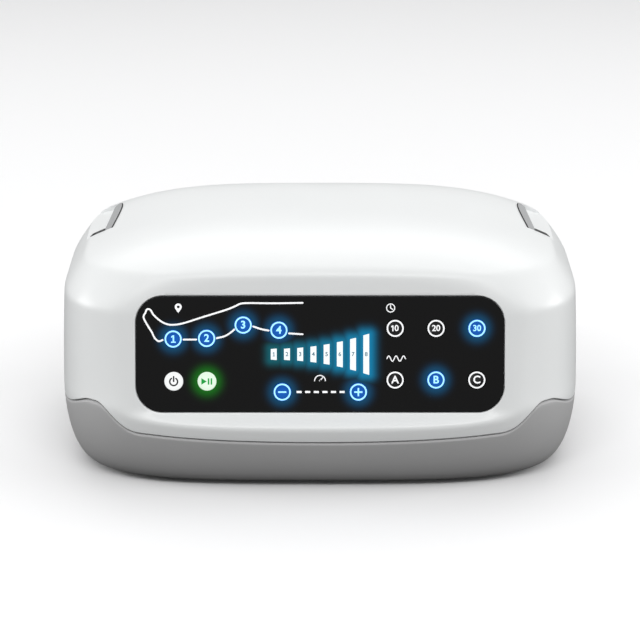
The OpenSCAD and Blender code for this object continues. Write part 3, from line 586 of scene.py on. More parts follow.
@effect("settled_dust", {"Amount": 0.2}, "Mask")
def settled_dust(sheet: Sheet, given: Any) -> Sequence[Any]:
    """Thin dust on what faces up."""
    normal = sheet.add("NewGeometry").outputs["Normal"]
    facing = sheet.spread(sheet.add("SeparateXYZ", {0: normal}).outputs["Z"], 0.55, 1.0)
    specks = sheet.math("MULTIPLY", sheet.spread(sheet.noise(700.0, 5.0), 0.5, 0.75),
                        sheet.spread(sheet.noise(18.0, 3.0), 0.35, 0.7))
    return [sheet.math("MULTIPLY", sheet.math("MULTIPLY", specks, facing), given["Amount"],
                       clamp=True)]


@effect("rubbed_edges", {"Amount": 0.3}, "Mask")
def rubbed_edges(sheet: Sheet, given: Any) -> Sequence[Any]:
    """Mask of convex edges, broken up as rubbing does."""
    edge = sheet.spread(sheet.add("NewGeometry").outputs["Pointiness"], 0.52, 0.6)
    broken = sheet.math("MULTIPLY", edge, sheet.spread(sheet.noise(260.0, 3.0), 0.4, 0.6))
    return [sheet.math("MULTIPLY", broken, given["Amount"], clamp=True)]


@effect("halo", {"U": 0.0, "V": 0.0, "Centre U": 0.0, "Centre V": 0.0, "Half Width": 0.0,
                 "Half Height": 0.0, "Radius": 0.0, "Spread": 2.0}, "Glow")
def lamp_halo(sheet: Sheet, given: Any) -> Sequence[Any]:
    """Glow that fades with the distance from a rectangle of the front plane."""
    away = []
    for axis, half in (("U", "Half Width"), ("V", "Half Height")):
        gap = sheet.math("SUBTRACT", given[axis], given[f"Centre {axis}"])
        gap = sheet.math("SUBTRACT", sheet.math("ABSOLUTE", gap), given[half])
        gap = sheet.math("MAXIMUM", gap, 0.0)
        away.append(sheet.math("MULTIPLY", gap, gap))
    far = sheet.math("SUBTRACT", sheet.math("SQRT", sheet.math("ADD", *away)), given["Radius"])
    share = sheet.math("DIVIDE", sheet.math("MAXIMUM", far, 0.0), given["Spread"])
    square = sheet.math("MULTIPLY", sheet.math("MULTIPLY", share, share), -1.0)
    return [sheet.math("EXPONENT", square)]


# --- finishes


Colour = tuple[float, float, float]


def opaque(colour: Colour, share: float = 1.0) -> tuple[float, ...]:
    """A colour with full alpha, made darker or lighter by a share."""
    return (*(min(1.0, c * share) for c in colour), 1.0)


BLACK = opaque((0.0, 0.0, 0.0))


def from_screen(red: int, green: int, blue: int) -> Colour:
    """Scene colour of a screen colour given in steps of 0 to 255."""
    def linear(step: int) -> float:
        """One channel of the scene colour."""
        share = step / 255
        return share / 12.92 if share <= 0.04045 else ((share + 0.055) / 1.055) ** 2.4
    return linear(red), linear(green), linear(blue)


@dataclass(frozen=True)
class Finish:
    """A surface finish that turns into one material."""

    name: str
    colour: Colour

    def material(self) -> bpy.types.Material:
        """The material of this finish, made at its first use."""
        made = bpy.data.materials.get(self.name)
        if made is None:
            made = bpy.data.materials.new(self.name)
            made.use_nodes = True
            made.diffuse_color = opaque(self.colour)
            self.draw(Sheet(made.node_tree))
        return made

    def draw(self, sheet: Sheet) -> None:
        """Draws the finish's nodes."""
        raise NotImplementedError

    def close(self, sheet: Sheet, base: Any, rough: Any, relief: tuple[Any, float],
              more: dict[str, Any]) -> None:
        """Ends the tree with a Principled shader.

        Args:
            sheet: The tree.
            base: Its colour.
            rough: Its roughness.
            relief: Height of its relief, and the relief's depth in millimetres.
            more: Its other inputs.
        """
        height, depth = relief
        bump = sheet.add("Bump", {"Height": height, "Strength": 1.0, "Distance": depth * MM})
        shader = sheet.add("BsdfPrincipled", {"Base Color": base, "Roughness": rough,
                                              "Normal": bump.outputs[0], **more})
        sheet.add("OutputMaterial", {"Surface": shader.outputs[0]})


@dataclass(frozen=True)
class Moulded(Finish):
    """Injection moulded plastic or rubber with its grain, handling marks, edges and dust."""

    rough: float = 0.4
    grain_size: float = 0.6
    grain_depth: float = 0.01
    tone: float = 0.04
    marks: float = 0.05
    worn: float = 0.15
    dusty: float = 0.1
    gloss: float = 0.5
    coat: float = 0.0

    def draw(self, sheet: Sheet) -> None:
        """Draws grain, tone, wear and dust round one plastic colour."""
        grain = sheet.group(skin_grain, {"Size": self.grain_size})
        worn = sheet.group(rubbed_edges, {"Amount": self.worn})["Mask"]
        dust = sheet.group(settled_dust, {"Amount": self.dusty})["Mask"]
        marks = sheet.group(handling_marks, {"Smears": self.marks, "Scuffs": self.marks})["Rough"]
        pale = tuple(c + (0.75 - c) * 0.35 if c < 0.75 else c for c in self.colour)
        base = sheet.mix(grain["Tone"], opaque(self.colour, 1 - self.tone),
                         opaque(self.colour, 1 + self.tone))
        base = sheet.mix(worn, base, opaque(pale))
        base = sheet.mix(dust, base, opaque((0.55, 0.54, 0.52)))
        rough = sheet.math("ADD", sheet.math("ADD", marks, self.rough),
                           sheet.math("MULTIPLY", dust, 0.4), clamp=True)
        self.close(sheet, base, rough, (grain["Height"], self.grain_depth),
                   {"Specular IOR Level": self.gloss, "Coat Weight": self.coat})


@dataclass(frozen=True)
class BareMetal(Finish):
    """Metal with drawn lines along one axis and dulled patches."""

    rough: float = 0.3
    along: Colour = (40.0, 1800.0, 1800.0)
    depth: float = 0.004

    def draw(self, sheet: Sheet) -> None:
        """Draws the lines, the dull patches and the rubbed edges."""
        line = sheet.lines(self.along, 3.0)
        patch = sheet.group(skin_grain, {"Size": 2.0, "Swell": 9.0})["Tone"]
        worn = sheet.group(rubbed_edges, {"Amount": 0.6})["Mask"]
        base = sheet.mix(sheet.spread(patch, 0.35, 0.65), opaque(self.colour, 0.78),
                         opaque(self.colour))
        base = sheet.mix(worn, base, opaque(self.colour, 1.12))
        rough = sheet.math("ADD", sheet.math("MULTIPLY", line, 0.2), self.rough - 0.1)
        self.close(sheet, base, rough, (line, self.depth), {"Metallic": 1.0})


@dataclass(frozen=True)
class Layered(Finish):
    """Stacked sheets or wound wire: fine bands across one axis, varnished over."""

    axis: str = "Z"
    pitch: float = 0.5
    depth: float = 0.05
    metal: float = 0.8
    rough: float = 0.4

    def draw(self, sheet: Sheet) -> None:
        """Draws the bands, their bump and their uneven varnish."""
        wave = sheet.add("TexWave", {"Vector": sheet.place(), "Scale": 0.314 / (self.pitch * MM),
                                     "Distortion": 0.3, "Detail": 1.0},
                         bands_direction=self.axis).outputs[1]
        tone = sheet.group(skin_grain, {"Size": 3.0, "Swell": 8.0})["Tone"]
        deep = opaque(self.colour, 0.45)
        base = sheet.mix(sheet.spread(wave, 0.1, 0.6), deep, opaque(self.colour))
        base = sheet.mix(sheet.math("MULTIPLY", tone, 0.3), base, deep)
        rough = sheet.math("ADD", sheet.math("MULTIPLY", tone, 0.25), self.rough - 0.12)
        self.close(sheet, base, rough, (wave, self.depth), {"Metallic": self.metal})


@dataclass(frozen=True)
class Circuit(Finish):
    """Green solder mask over copper tracks on a glass cloth board."""

    track_size: float = 2.2

    def draw(self, sheet: Sheet) -> None:
        """Draws tracks, pads and the weave of the cloth."""
        place = sheet.place()
        square = sheet.add("TexVoronoi", {"Vector": place, "Scale": 1 / (self.track_size * MM),
                                          "Randomness": 0.4}, distance="CHEBYCHEV")
        track = sheet.spread(square.outputs["Distance"], 0.3, 0.36)
        dots = sheet.add("TexVoronoi", {"Vector": place, "Scale": 260.0, "Randomness": 0.2})
        pad = sheet.spread(dots.outputs["Distance"], 0.14, 0.1)
        weave = sheet.group(skin_grain, {"Size": 0.4, "Swell": 14.0})
        base = sheet.mix(track, opaque(self.colour), opaque(self.colour, 0.55))
        base = sheet.mix(pad, base, opaque((0.72, 0.70, 0.62)))
        rough = sheet.math("ADD", sheet.math("MULTIPLY", weave["Tone"], 0.25), 0.25)
        height = sheet.math("SUBTRACT", weave["Height"], track)
        self.close(sheet, base, rough, (height, 0.02),
                   {"Metallic": sheet.math("MULTIPLY", pad, 0.8)})


@dataclass(frozen=True)
class Backlit(Finish):
    """Translucent plastic lit from behind, brightest over its lamp."""

    strength: float = 1.0
    plane: Plane | None = None
    centre: tuple[float, float] = (0.0, 0.0)
    radius: float = 4.4
    rim: float = 0.75

    def draw(self, sheet: Sheet) -> None:
        """Draws the lamp's falloff towards the rim."""
        grain = sheet.group(skin_grain, {"Size": 0.5, "Swell": 6.0})
        u, v = front_coordinates(sheet, self.plane)
        halo = sheet.group(lamp_halo, {"U": u, "V": v, "Centre U": self.centre[0],
                                       "Centre V": self.centre[1], "Spread": self.radius})
        share = sheet.math("MULTIPLY", sheet.spread(halo["Glow"], 0.3, 1.0, self.rim, 1.0),
                           sheet.spread(grain["Tone"], 0.2, 0.8, 0.94, 1.0))
        self.close(sheet, sheet.mix(0.8, opaque(self.colour), BLACK),
                   sheet.spread(grain["Tone"], 0.3, 0.7, 0.24, 0.36), (grain["Height"], 0.004),
                   {"Emission Color": sheet.mix(share, BLACK, opaque(self.colour)),
                    "Emission Strength": self.strength, "Specular IOR Level": 0.3})


@dataclass(frozen=True)
class Ink(Finish):
    """Screen printed ink, a little uneven; its glow stands for light from behind on lit keys, and
    is painted light on print that nothing lights.
    """

    glow: float = 0.0

    def draw(self, sheet: Sheet) -> None:
        """Draws the ink's faint unevenness."""
        grain = sheet.group(skin_grain, {"Size": 0.25, "Swell": 3.0})
        base = sheet.mix(sheet.spread(grain["Tone"], 0.3, 0.7), opaque(self.colour, 0.9),
                         opaque(self.colour))
        self.close(sheet, base, sheet.spread(grain["Height"], 0.3, 0.7, 0.38, 0.52),
                   (grain["Height"], 0.003),
                   {"Emission Color": base, "Emission Strength": self.glow,
                    "Specular IOR Level": 0.3})


def front_coordinates(sheet: Sheet, plane: Plane) -> tuple[bpy.types.NodeSocket, ...]:
    """Distances across and up the front plane from its middle, in millimetres."""
    middle = sheet.add("VectorMath", {0: sheet.place(), 1: Vector(plane.origin) * MM},
                       operation="SUBTRACT").outputs[0]
    return tuple(sheet.add("VectorMath", {0: middle, 1: Vector(axis) / MM},
                           operation="DOT_PRODUCT").outputs["Value"]
                 for axis in (plane.across, plane.up))


@dataclass(frozen=True)
class Lamp:
    """A lit key or bar as the panel's halo sees it, in millimetres on the front plane."""

    u: float
    v: float
    half_width: float
    half_height: float
    radius: float
    spread: float
    colour: Colour


@dataclass(frozen=True)
class PanelSheet(Finish):
    """Black printed sheet of the control panel, with halos round what is lit."""

    plane: Plane | None = None
    lamps: tuple[Lamp, ...] = ()

    def draw(self, sheet: Sheet) -> None:
        """Draws the black print, its film texture and the sum of the halos."""
        u, v = front_coordinates(sheet, self.plane)
        glow: Any = BLACK
        for lamp in self.lamps:
            halo = sheet.group(lamp_halo, {
                "U": u, "V": v, "Centre U": lamp.u, "Centre V": lamp.v,
                "Half Width": lamp.half_width, "Half Height": lamp.half_height,
                "Radius": lamp.radius, "Spread": lamp.spread})
            glow = sheet.mix(1.0, glow, sheet.mix(halo["Glow"], BLACK, opaque(lamp.colour)),
                             "LIGHTEN")
        grain = sheet.group(skin_grain, {"Size": 0.35, "Swell": 45.0})
        marks = sheet.group(handling_marks, {"Smears": 0.03, "Scuffs": 0.015})
        base = sheet.mix(grain["Tone"], opaque(self.colour, 0.8), opaque(self.colour))
        self.close(sheet, base, sheet.math("ADD", marks["Rough"], 0.2), (grain["Height"], 0.003),
                   {"Emission Color": glow, "Emission Strength": 1.0, "Specular IOR Level": 0.22})


# --- pieces


def dress(item: bpy.types.Object, finish: Finish) -> None:
    """Gives a piece its material."""
    item.data.materials.clear()
    item.data.materials.append(finish.material())


def settle(item: bpy.types.Object, body: str, finish: Finish,
           replaced: Sequence[str] = (), smooth: float | None = SMOOTH_ANGLE) -> None:
    """Dresses a new piece, seats it on its body and reports it.

    Args:
        item: The piece, with its mesh in place.
        body: Body that it moves with.
        finish: Its finish.
        replaced: Construction nodes that it stands for.
        smooth: Angle above which its edges stay sharp, or nothing for a flat piece.
    """
    if smooth is not None:
        shade_smooth(item, smooth)
    dress(item, finish)
    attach(item, body)
    if replaced:
        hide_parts(*replaced)
    LOG.info("%s: %d faces on %s", item.name, len(item.data.polygons), body)


class Palette:
    """Every finish on the pump."""

    shell = Moulded("white_shell_plastic", (0.80, 0.815, 0.815), rough=0.34, grain_size=0.35,
                    grain_depth=0.004, tone=0.008, marks=0.04, worn=0.0, dusty=0.05)
    base = Moulded("grey_base_plastic", (0.43, 0.43, 0.432), rough=0.55, grain_size=0.45,
                   grain_depth=0.02, tone=0.03, marks=0.05, worn=0.1, dusty=0.15)
    liner = Moulded("grip_liner_plastic", (0.36, 0.365, 0.37), rough=0.6, grain_size=0.4,
                    grain_depth=0.02, tone=0.04, worn=0.2)
    plate = Moulded("connector_plate_plastic", (0.085, 0.09, 0.095), rough=0.55, grain_size=0.5,
                    grain_depth=0.03, tone=0.06, worn=0.2)
    socket = Moulded("socket_plastic", (0.022, 0.023, 0.025), rough=0.38, grain_size=0.5,
                     grain_depth=0.01, worn=0.25)
    rubber = Moulded("black_rubber", (0.02, 0.02, 0.021), rough=0.8, grain_size=0.3,
                     grain_depth=0.02, tone=0.1, worn=0.3, dusty=0.3, gloss=0.3)
    tube = Moulded("silicone_tube", (0.72, 0.74, 0.74), rough=0.35, grain_size=1.2,
                   grain_depth=0.01, tone=0.03, worn=0.0, dusty=0.3)
    plain = Moulded("manifold_plastic", (0.66, 0.66, 0.62), rough=0.5, tone=0.05)
    head = Moulded("glass_filled_plastic", (0.10, 0.11, 0.12), rough=0.6, grain_size=0.8,
                   grain_depth=0.03, tone=0.12)
    felt = Moulded("filter_felt", (0.14, 0.15, 0.16), rough=0.95, grain_size=0.2,
                   grain_depth=0.15, tone=0.2, worn=0.0, dusty=0.4, gloss=0.2)
    part = Moulded("component_plastic", (0.03, 0.03, 0.032), rough=0.42, worn=0.3)
    diffuser = Moulded("lamp_plastic", (0.8, 0.82, 0.8), rough=0.3, tone=0.03)
    steel = BareMetal("zinc_plated_steel", (0.62, 0.63, 0.65), rough=0.32)
    brass = BareMetal("brass_pin", (0.80, 0.62, 0.30), rough=0.22, along=(900.0, 60.0, 900.0))
    core = Layered("core_sheets", (0.24, 0.24, 0.25), axis="Z", pitch=0.5)
    winding = Layered("enamelled_winding", (0.70, 0.33, 0.16), axis="Y", pitch=0.45, rough=0.3)
    board = Circuit("circuit_board", (0.02, 0.15, 0.05))
    # The white ink's glow is painted light: it brightens print on the black panel and on the unlit
    # black keys.
    white_ink = Ink("white_ink", (0.82, 0.83, 0.84), glow=0.55)
    blue_ink = Ink("lit_blue_ink", (0.28, 0.60, 0.88), glow=1.1)
    dark_ink = Ink("dark_ink", (0.02, 0.02, 0.022))
    green_ink = Ink("green_ink", from_screen(20, 150, 60), glow=0.5)
    key_black = Moulded("black_key_plastic", (0.006, 0.006, 0.007), rough=0.25, grain_size=0.3,
                        grain_depth=0.003, tone=0.1, worn=0.1, dusty=0.05, gloss=0.3)


@dataclass(frozen=True)
class Grip:
    """Carrying grip cut into a shoulder: a sloping inner wall with a liner, and a ledge."""

    form: BodyForm
    side_inset: float = 29.0
    length: float = 52.0
    back_inset: float = 53.0
    slope_width: float = 7.4
    depth: float = 4.8
    slant: float = 2.6
    fall: float = 0.3
    reach: float = 30.0
    rise: float = 12.0
    liner: float = 0.9
    liner_low: float = 0.6
    liner_high: float = 1.1
    liner_edge: float = 0.5
    # A black bed a little larger than the liner shows as a thin dark line round it: painted shade
    # for the groove at the liner's edge.
    bed: float = 0.5
    shade_bed_grow: float = 0.4
    # The dark strip at the recess's front end is painted shade for the shadow there.
    shade_strip_length: float = 6.5
    shade_strip_thickness: float = 1.5
    shade_strip_proud: float = 0.8
    rib_pitch: float = 1.8
    rib_height: float = 0.22

    @property
    def edge_x(self) -> float:
        """Distance of the inner wall's upper edge from the middle, at its rear end."""
        return self.form.half_width - self.side_inset

    def swerve(self, y: float) -> float:
        """How much further out the inner wall stands at one depth than at its rear end."""
        return self.slant * (self.end_y - y) / self.length

    @property
    def end_y(self) -> float:
        """Distance of the recess's rear end behind the middle."""
        return self.form.half_depth - self.back_inset

    @property
    def middle_y(self) -> float:
        """Distance of the recess's middle behind the middle."""
        return self.end_y - self.length / 2

    @property
    def foot(self) -> tuple[float, float]:
        """Distance from the middle and height of the inner wall's foot."""
        return (self.edge_x + self.slope_width,
                self.form.crown_top(self.edge_x, self.end_y) - self.depth)

    @property
    def angle(self) -> float:
        """Slope of the inner wall."""
        return math.atan2(self.form.crown_top(self.edge_x, 0) - self.foot[1], self.slope_width)

    def cutter(self, drop: float = 0.0) -> Solid:
        """What the right-hand recess removes from the housing, or the body of wall below it.

        Args:
            drop: How far the section reaches further down, and past both ends.

        Returns:
            The solid.
        """
        foot_x, foot_z = self.foot
        top_x = self.edge_x - self.rise / math.tan(self.angle)
        top_z = self.form.crown_top(self.edge_x, 0) + self.rise
        section = [(top_x, top_z - drop), (foot_x, foot_z - drop),
                   (foot_x + self.reach, foot_z - self.reach * self.fall - drop),
                   (foot_x + self.reach, top_z), (top_x, top_z + 0.01)]
        ends = (self.end_y - self.length - drop, self.end_y + drop)
        rings = [np.array([(x + self.swerve(y), y, z) for x, z in section]) for y in reversed(ends)]
        return Solid.stack(rings)

    def climb(self, y: float) -> float:
        """Length of the inner wall at one depth, from its foot up to the crowned top."""
        foot_x, foot_z = self.foot
        foot_x += self.swerve(y)
        length = self.depth / math.sin(self.angle)
        for _ in range(12):
            top = self.form.crown_top(foot_x - length * math.cos(self.angle), y)
            length = (top - foot_z) / math.sin(self.angle)
        return length

    def liner_solid(self, thickness: float, grow: float, ribs: float) -> Solid:
        """Strip on the right-hand inner wall, whose upper edge follows the crowned top.

        Args:
            thickness: Its thickness.
            grow: How much larger than the liner it is on every side.
            ribs: Height of its ribs.

        Returns:
            The solid.
        """
        foot_x, foot_z = self.foot
        out = np.array([math.sin(self.angle), 0, math.cos(self.angle)])
        up = np.array([-math.cos(self.angle), 0, math.sin(self.angle)])
        half = self.length / 2 - self.liner_edge + grow
        depths = np.arange(-half, half + 1e-6, 2 * half / 220)
        low = self.liner_low - grow
        rings = []
        for y in depths:
            high = self.climb(self.middle_y + y) - self.liner_high + grow
            edge = min(1.0, (half - abs(y)) / 0.5)
            rib = ribs * math.cos(2 * math.pi * y / self.rib_pitch) * edge
            thick = thickness * (1 - 0.35 * (1 - edge) ** 2)
            shape = [(low, 0.05), (low, thick - 0.3), (low + 0.3, thick), (low + 0.9, thick + rib),
                     (high - 0.9, thick + rib), (high - 0.3, thick), (high, thick - 0.3),
                     (high, 0.05)]
            base = np.array([foot_x + self.swerve(self.middle_y + y), self.middle_y + y, foot_z])
            rings.append(np.array([base + up * a + out * b for a, b in shape]))
        return Solid.stack(rings)

    def shade_strip_solid(self) -> Solid:
        """Dark strip at the recess's front end, which stands a little proud of the shoulder:
        painted shade, a dark piece where the recess's end only lies in shadow.
        """
        front = self.end_y - self.length
        start = self.foot[0] + self.swerve(front)
        across = np.linspace(start - 1.3, start + self.shade_strip_length, 14)
        floor = [(x, self.foot[1] - self.fall * (x - start) - 0.2) for x in across]
        taper = np.minimum(1, (across[-1] - across) / 1.5)
        top = [(x, self.form.crown_top(x, front) + self.shade_strip_proud * share)
               for x, share in zip(across, taper)]
        section = [*floor, *reversed(top)]
        return Solid.stack([np.array([(x, y, z) for x, z in section])
                            for y in (front + self.shade_strip_thickness, front - 0.2)])


@dataclass(frozen=True)
class FrontFlat:
    """The front flat and the pocket that the control panel is bonded into."""

    plane: Plane
    panel_width: float = 179.6
    panel_height: float = 56.6
    corner: float = 13.0
    thickness: float = 1.4
    sink: float = 0.2
    gap: float = 0.25
    ledge: float = 4.0
    rim: float = 0.7
    out: float = 12.0

    def outline(self, grow: float, steps: int) -> np.ndarray:
        """The panel's outline grown on every side, with so many points round each corner."""
        return rounded_outline(self.panel_width, self.panel_height, self.corner, grow, steps)

    def cutter(self) -> Solid:
        """Window, ledge, pocket and rounded rim in one tool."""
        pocket = -self.thickness - self.sink
        steps = [(-self.ledge, -7.0), (-self.ledge, pocket), (self.gap, pocket),
                 *((self.gap + grow, sunk) for grow, sunk in round_over(self.rim, 5)),
                 (self.gap + self.rim, self.out)]
        return grown(lambda grow: self.outline(grow, 16), steps).seated(self.plane)


@dataclass(frozen=True)
class RearBay:
    """Bay in the back for the connector plate, and the vent slots above it."""

    plane: Plane
    form: BodyForm
    plate_width: float = 150.0
    plate_height: float = 40.0
    plate_radius: float = 6.0
    plate_thickness: float = 2.5
    margin: float = 4.0
    gap: float = 0.25
    rim: float = 1.0
    vent_count: int = 9
    vent_pitch: float = 6.0
    vent_width: float = 2.4
    vent_height: float = 7.0
    vent_z: float = 93.5
    out: float = 25.0

    def _surface(self, outline: np.ndarray) -> np.ndarray:
        """Height of the housing's back over the plane at each point of an outline."""
        world = self.plane.world(raised(outline, 0.0))
        return self.form.back_surface(world[:, 0], world[:, 2]) - self.plane.origin[1]

    def _rimmed(self, outline: Callable[[float], np.ndarray], start: Sequence[tuple[float, float]],
                rim: tuple[float, float, int]) -> Solid:
        """Tool whose mouth is rounded where it meets the housing's back.

        Args:
            outline: Its outline grown on every side.
            start: Growths and heights below the mouth.
            rim: Growth at the mouth's foot, the rounding's radius and its steps.

        Returns:
            The tool.
        """
        foot, radius, count = rim
        rings = [raised(outline(grow), height) for grow, height in start]
        for grow, sunk in round_over(radius, count):
            edge = outline(foot + grow)
            rings.append(raised(edge, self._surface(edge) + sunk))
        rings.append(raised(outline(foot + radius), self.out))
        return Solid.stack(rings).seated(self.plane)

    def _plate_outline(self, grow: float) -> np.ndarray:
        """The plate's outline grown on every side."""
        return rounded_outline(self.plate_width, self.plate_height, self.plate_radius, grow, 14)

    def bay_cutter(self) -> Solid:
        """Opening, plate pocket, bay and rounded rim in one tool."""
        back = -self.plate_thickness
        return self._rimmed(self._plate_outline, [
            (-self.margin, -9.0), (-self.margin, back), (self.gap, back), (self.gap, 0.0),
            (self.margin, 0.0)], (self.margin, self.rim, 5))

    def backing(self, wall: float) -> Solid:
        """Body of wall behind and around the bay, before it is trimmed to the housing."""
        return grown(lambda _: self._plate_outline(self.margin + wall),
                     [(0, -1.5 * wall), (0, self.out)]).seated(self.plane)

    def slots(self, height: float) -> list[Callable[[float], np.ndarray]]:
        """Outlines of a row of slots about the middle, each grown on every side."""
        def slot(at: float) -> Callable[[float], np.ndarray]:
            """One slot's outline, at a distance from the middle."""
            return lambda grow: rounded_outline(self.vent_width, height, 1.15, grow) + [at, 0]
        return [slot((i - (self.vent_count - 1) / 2) * self.vent_pitch)
                for i in range(self.vent_count)]

    def vent_cutters(self) -> Solid:
        """The row of vent slots."""
        shift = np.array([0, self.vent_z - self.plane.origin[2]])
        return Solid.joined([
            self._rimmed(lambda grow, slot=slot: slot(grow) + shift, [(0.0, -14.0)], (0.0, 0.3, 3))
            for slot in self.slots(self.vent_height)])


@dataclass
class Housing:
    """Upper and lower housing with their recesses, the grip liners and the feet."""

    form: BodyForm
    seam: Seam
    flat: FrontFlat
    grip: Grip
    bay: RearBay
    wall: float = 3.0
    per_quarter: int = 118
    outer_rows: int = 130
    inner_rows: int = 36
    foot_x: float = 84.0
    foot_y: float = 58.0
    foot_diameter: float = 16.0
    foot_seat: float = 1.2
    screw_x: float = 96.0
    screw_y: float = 62.0
    post_radius: float = 4.5
    post_drop: float = 3.45
    well_radius: float = 3.0
    well_top: float = 21.5
    hole_radius: float = 1.7
    hole_top: float = 57.5
    vents_middle: tuple[float, float] = (66.0, -14.0)
    vents_length: float = 44.0
    intake_middle: tuple[float, float] = (44.0, 62.0)
    intake_radius: float = 3.0
    below: float = 2.0
    through: float = 6.0

    @cached_property
    def columns(self) -> tuple[np.ndarray, np.ndarray]:
        """The columns that every row of the shells has its points on."""
        return self.form.columns(self.per_quarter)

    def _rows(self, steps: Sequence[tuple[Any, float]]) -> list[np.ndarray]:
        """Rows of points at each step's place along the profile and distance inside."""
        across, along = self.columns
        return [self.form.place(across, along, level + 0 * across, inset)
                for level, inset in steps]

    def _seam_edge(self, sign: int) -> list[np.ndarray]:
        """Rows over the seam's rounded edge, above it or below it, from inside to outside."""
        face = self.seam.levels(self.form, self.columns[0], sign * self.seam.gap / 2)
        edge = self.seam.edge
        rounding = ((sign * edge * (1 - math.sin(turn)), edge * (1 - math.cos(turn)))
                    for turn in np.linspace(math.pi / 2, 0, 6))
        return self._rows([*((face, inset) for inset in (self.wall, 2.0, 1.2)),
                           *((face + rise, inset) for rise, inset in rounding)])

    def _upper_solid(self) -> Solid:
        """Shell from the crown inside, over the seam's edge, to the crown outside."""
        seam = self.seam.levels(self.form, self.columns[0], self.seam.gap / 2)
        top = self.form.top_level
        inner = self._rows([(top + (seam - top) * share, self.wall)
                            for share in np.linspace(0.04, 0.97, self.inner_rows)])
        start = seam + self.seam.edge
        outer = self._rows([(start + (top - start) * share, 0.0)
                            for share in np.linspace(0, POLE_SHARE, self.outer_rows)[1:]])
        return Solid.stack([*inner, *self._seam_edge(1), *outer], poles=True)

    def _lower_solid(self) -> Solid:
        """Tray from the underside's middle, over the seam's edge, to the floor's middle."""
        seam = self.seam.levels(self.form, self.columns[0], -self.seam.gap / 2)
        foot, floor = self._rows([(0.0, 0.0), (0.0, self.wall)])
        under, over = ([row * (share, share, 1) for share in shares] for row, shares in (
            (foot, (0.1, 0.3, 0.5, 0.7, 0.85, 0.95)), (floor, (0.9, 0.6, 0.3, 0.1))))
        end = seam - self.seam.edge
        outer = self._rows([(end * share, 0.0) for share in np.linspace(0, 1, 56)[:-1]])
        near, top, root = self.wall + self.seam.lip_gap, self.seam.lip_height, -self.seam.lip_root
        far = near + self.seam.lip_thickness
        lip = [(near, 0.0), (near, top - 0.3), (near + 0.3, top), (far - 0.3, top),
               (far, top - 0.3), (far, root), (self.wall, root - self.seam.lip_thickness)]
        inner = self._rows([*((seam + rise, inset) for inset, rise in lip),
                            *((seam * share, self.wall) for share in np.linspace(0.85, 0, 14))])
        return Solid.stack([*under, *outer, *self._seam_edge(-1)[::-1], *inner, *over], poles=True)

    def _mouth(self, radius: float, lead: float) -> list[tuple[float, float]]:
        """Profile of a round hole's mouth in the underside, with a chamfer."""
        return [(radius + lead, -self.below), (radius + lead, 0), (radius, lead)]

    def _turned(self, profile: Sequence[tuple[float, float]]) -> Solid:
        """Solid of revolution through radius and height over the underside."""
        return revolved([(radius, self.form.foot_gap + z) for radius, z in profile], 48)

    def _corners(self, profile: Sequence[tuple[float, float]], x: float, y: float) -> Solid:
        """Four copies of a solid of revolution, one near each corner."""
        one = self._turned(profile)
        return Solid.joined([one.moved(sx * x, sy * y) for sx in (-1, 1) for sy in (-1, 1)])

    def build_upper(self) -> None:
        """Upper housing with its panel pocket, grips, bay and vents."""
        backs = self.grip.cutter(self.wall)
        backing = new_object("backing", Solid.joined([backs, backs.mirrored(),
                                                      self.bay.backing(self.wall)]))
        machine(backing, [(Cut.KEEP, self.form.solid(0.5))])
        shell = new_object("upper_shell", self._upper_solid())
        grip = self.grip.cutter()
        machine(shell, [(Cut.JOIN, backing), (Cut.REMOVE, self.flat.cutter()), (Cut.REMOVE, grip),
                        (Cut.REMOVE, grip.mirrored()), (Cut.REMOVE, self.bay.bay_cutter()),
                        (Cut.REMOVE, self.bay.vent_cutters())])
        settle(shell, HOUSING, Palette.shell, ["upper_housing"])

    def build_lower(self) -> None:
        """Lower housing with its screw posts, screw holes, foot seats and floor vents."""
        seat, well, hole = self.foot_diameter / 2 + 0.2, self.well_radius, self.hole_radius
        post_top = self.seam.corner_height - self.form.foot_gap - self.post_drop
        posts = self._corners([(self.post_radius, 1), (self.post_radius, post_top)],
                              self.screw_x, self.screw_y)
        seats = self._corners([*self._mouth(seat, 0.4), (seat, self.foot_seat)],
                              self.foot_x, self.foot_y)
        wells = self._corners([*self._mouth(well, 0.6), (well, self.well_top),
                               (hole, self.well_top), (hole, self.hole_top)],
                              self.screw_x, self.screw_y)
        tray = new_object("lower_tray", self._lower_solid())
        machine(tray, [(Cut.JOIN, posts), (Cut.REMOVE, seats), (Cut.REMOVE, wells),
                       (Cut.REMOVE, self._floor_vents()), (Cut.REMOVE, self._intake())])
        settle(tray, HOUSING, Palette.base, ["lower_housing"])

    def _floor_vents(self) -> Solid:
        """Slots in the floor under the main board."""
        steps = [(0.4, -self.below), (0.4, 0.0), (0.12, 0.12), (0.0, 0.4), (0.0, self.through)]
        base = self.form.foot_gap
        return Solid.joined([grown(slot, [(grow, base + z) for grow, z in steps])
                             .moved(*self.vents_middle)
                             for slot in self.bay.slots(self.vents_length)])

    def _intake(self) -> Solid:
        """Round air intake below the filter."""
        hole = [*self._mouth(self.intake_radius, 0.5), (self.intake_radius, self.through)]
        return self._turned(hole).moved(*self.intake_middle)

    def build_liners(self) -> None:
        """The two grip liners, each on a black bed that shows as a thin dark line of painted shade,
        and the dark strips of painted shade at the recesses' front ends.
        """
        grip = self.grip
        liner = grip.liner_solid(grip.liner, 0.0, grip.rib_height)
        # The black bed round each liner is painted shade.
        bed = grip.liner_solid(grip.bed, grip.shade_bed_grow, 0.0)
        for side, flip in (("right", False), ("left", True)):
            for name, solid, finish, replaced in (
                    ("liner", liner, Palette.liner, [f"grip_liner_{side}"]),
                    ("liner_bed", bed, Palette.rubber, []),
                    ("grip_stop", grip.shade_strip_solid(), Palette.rubber, [])):
                piece = new_object(f"{name}_{side}", solid.mirrored() if flip else solid)
                settle(piece, HOUSING, finish, replaced)


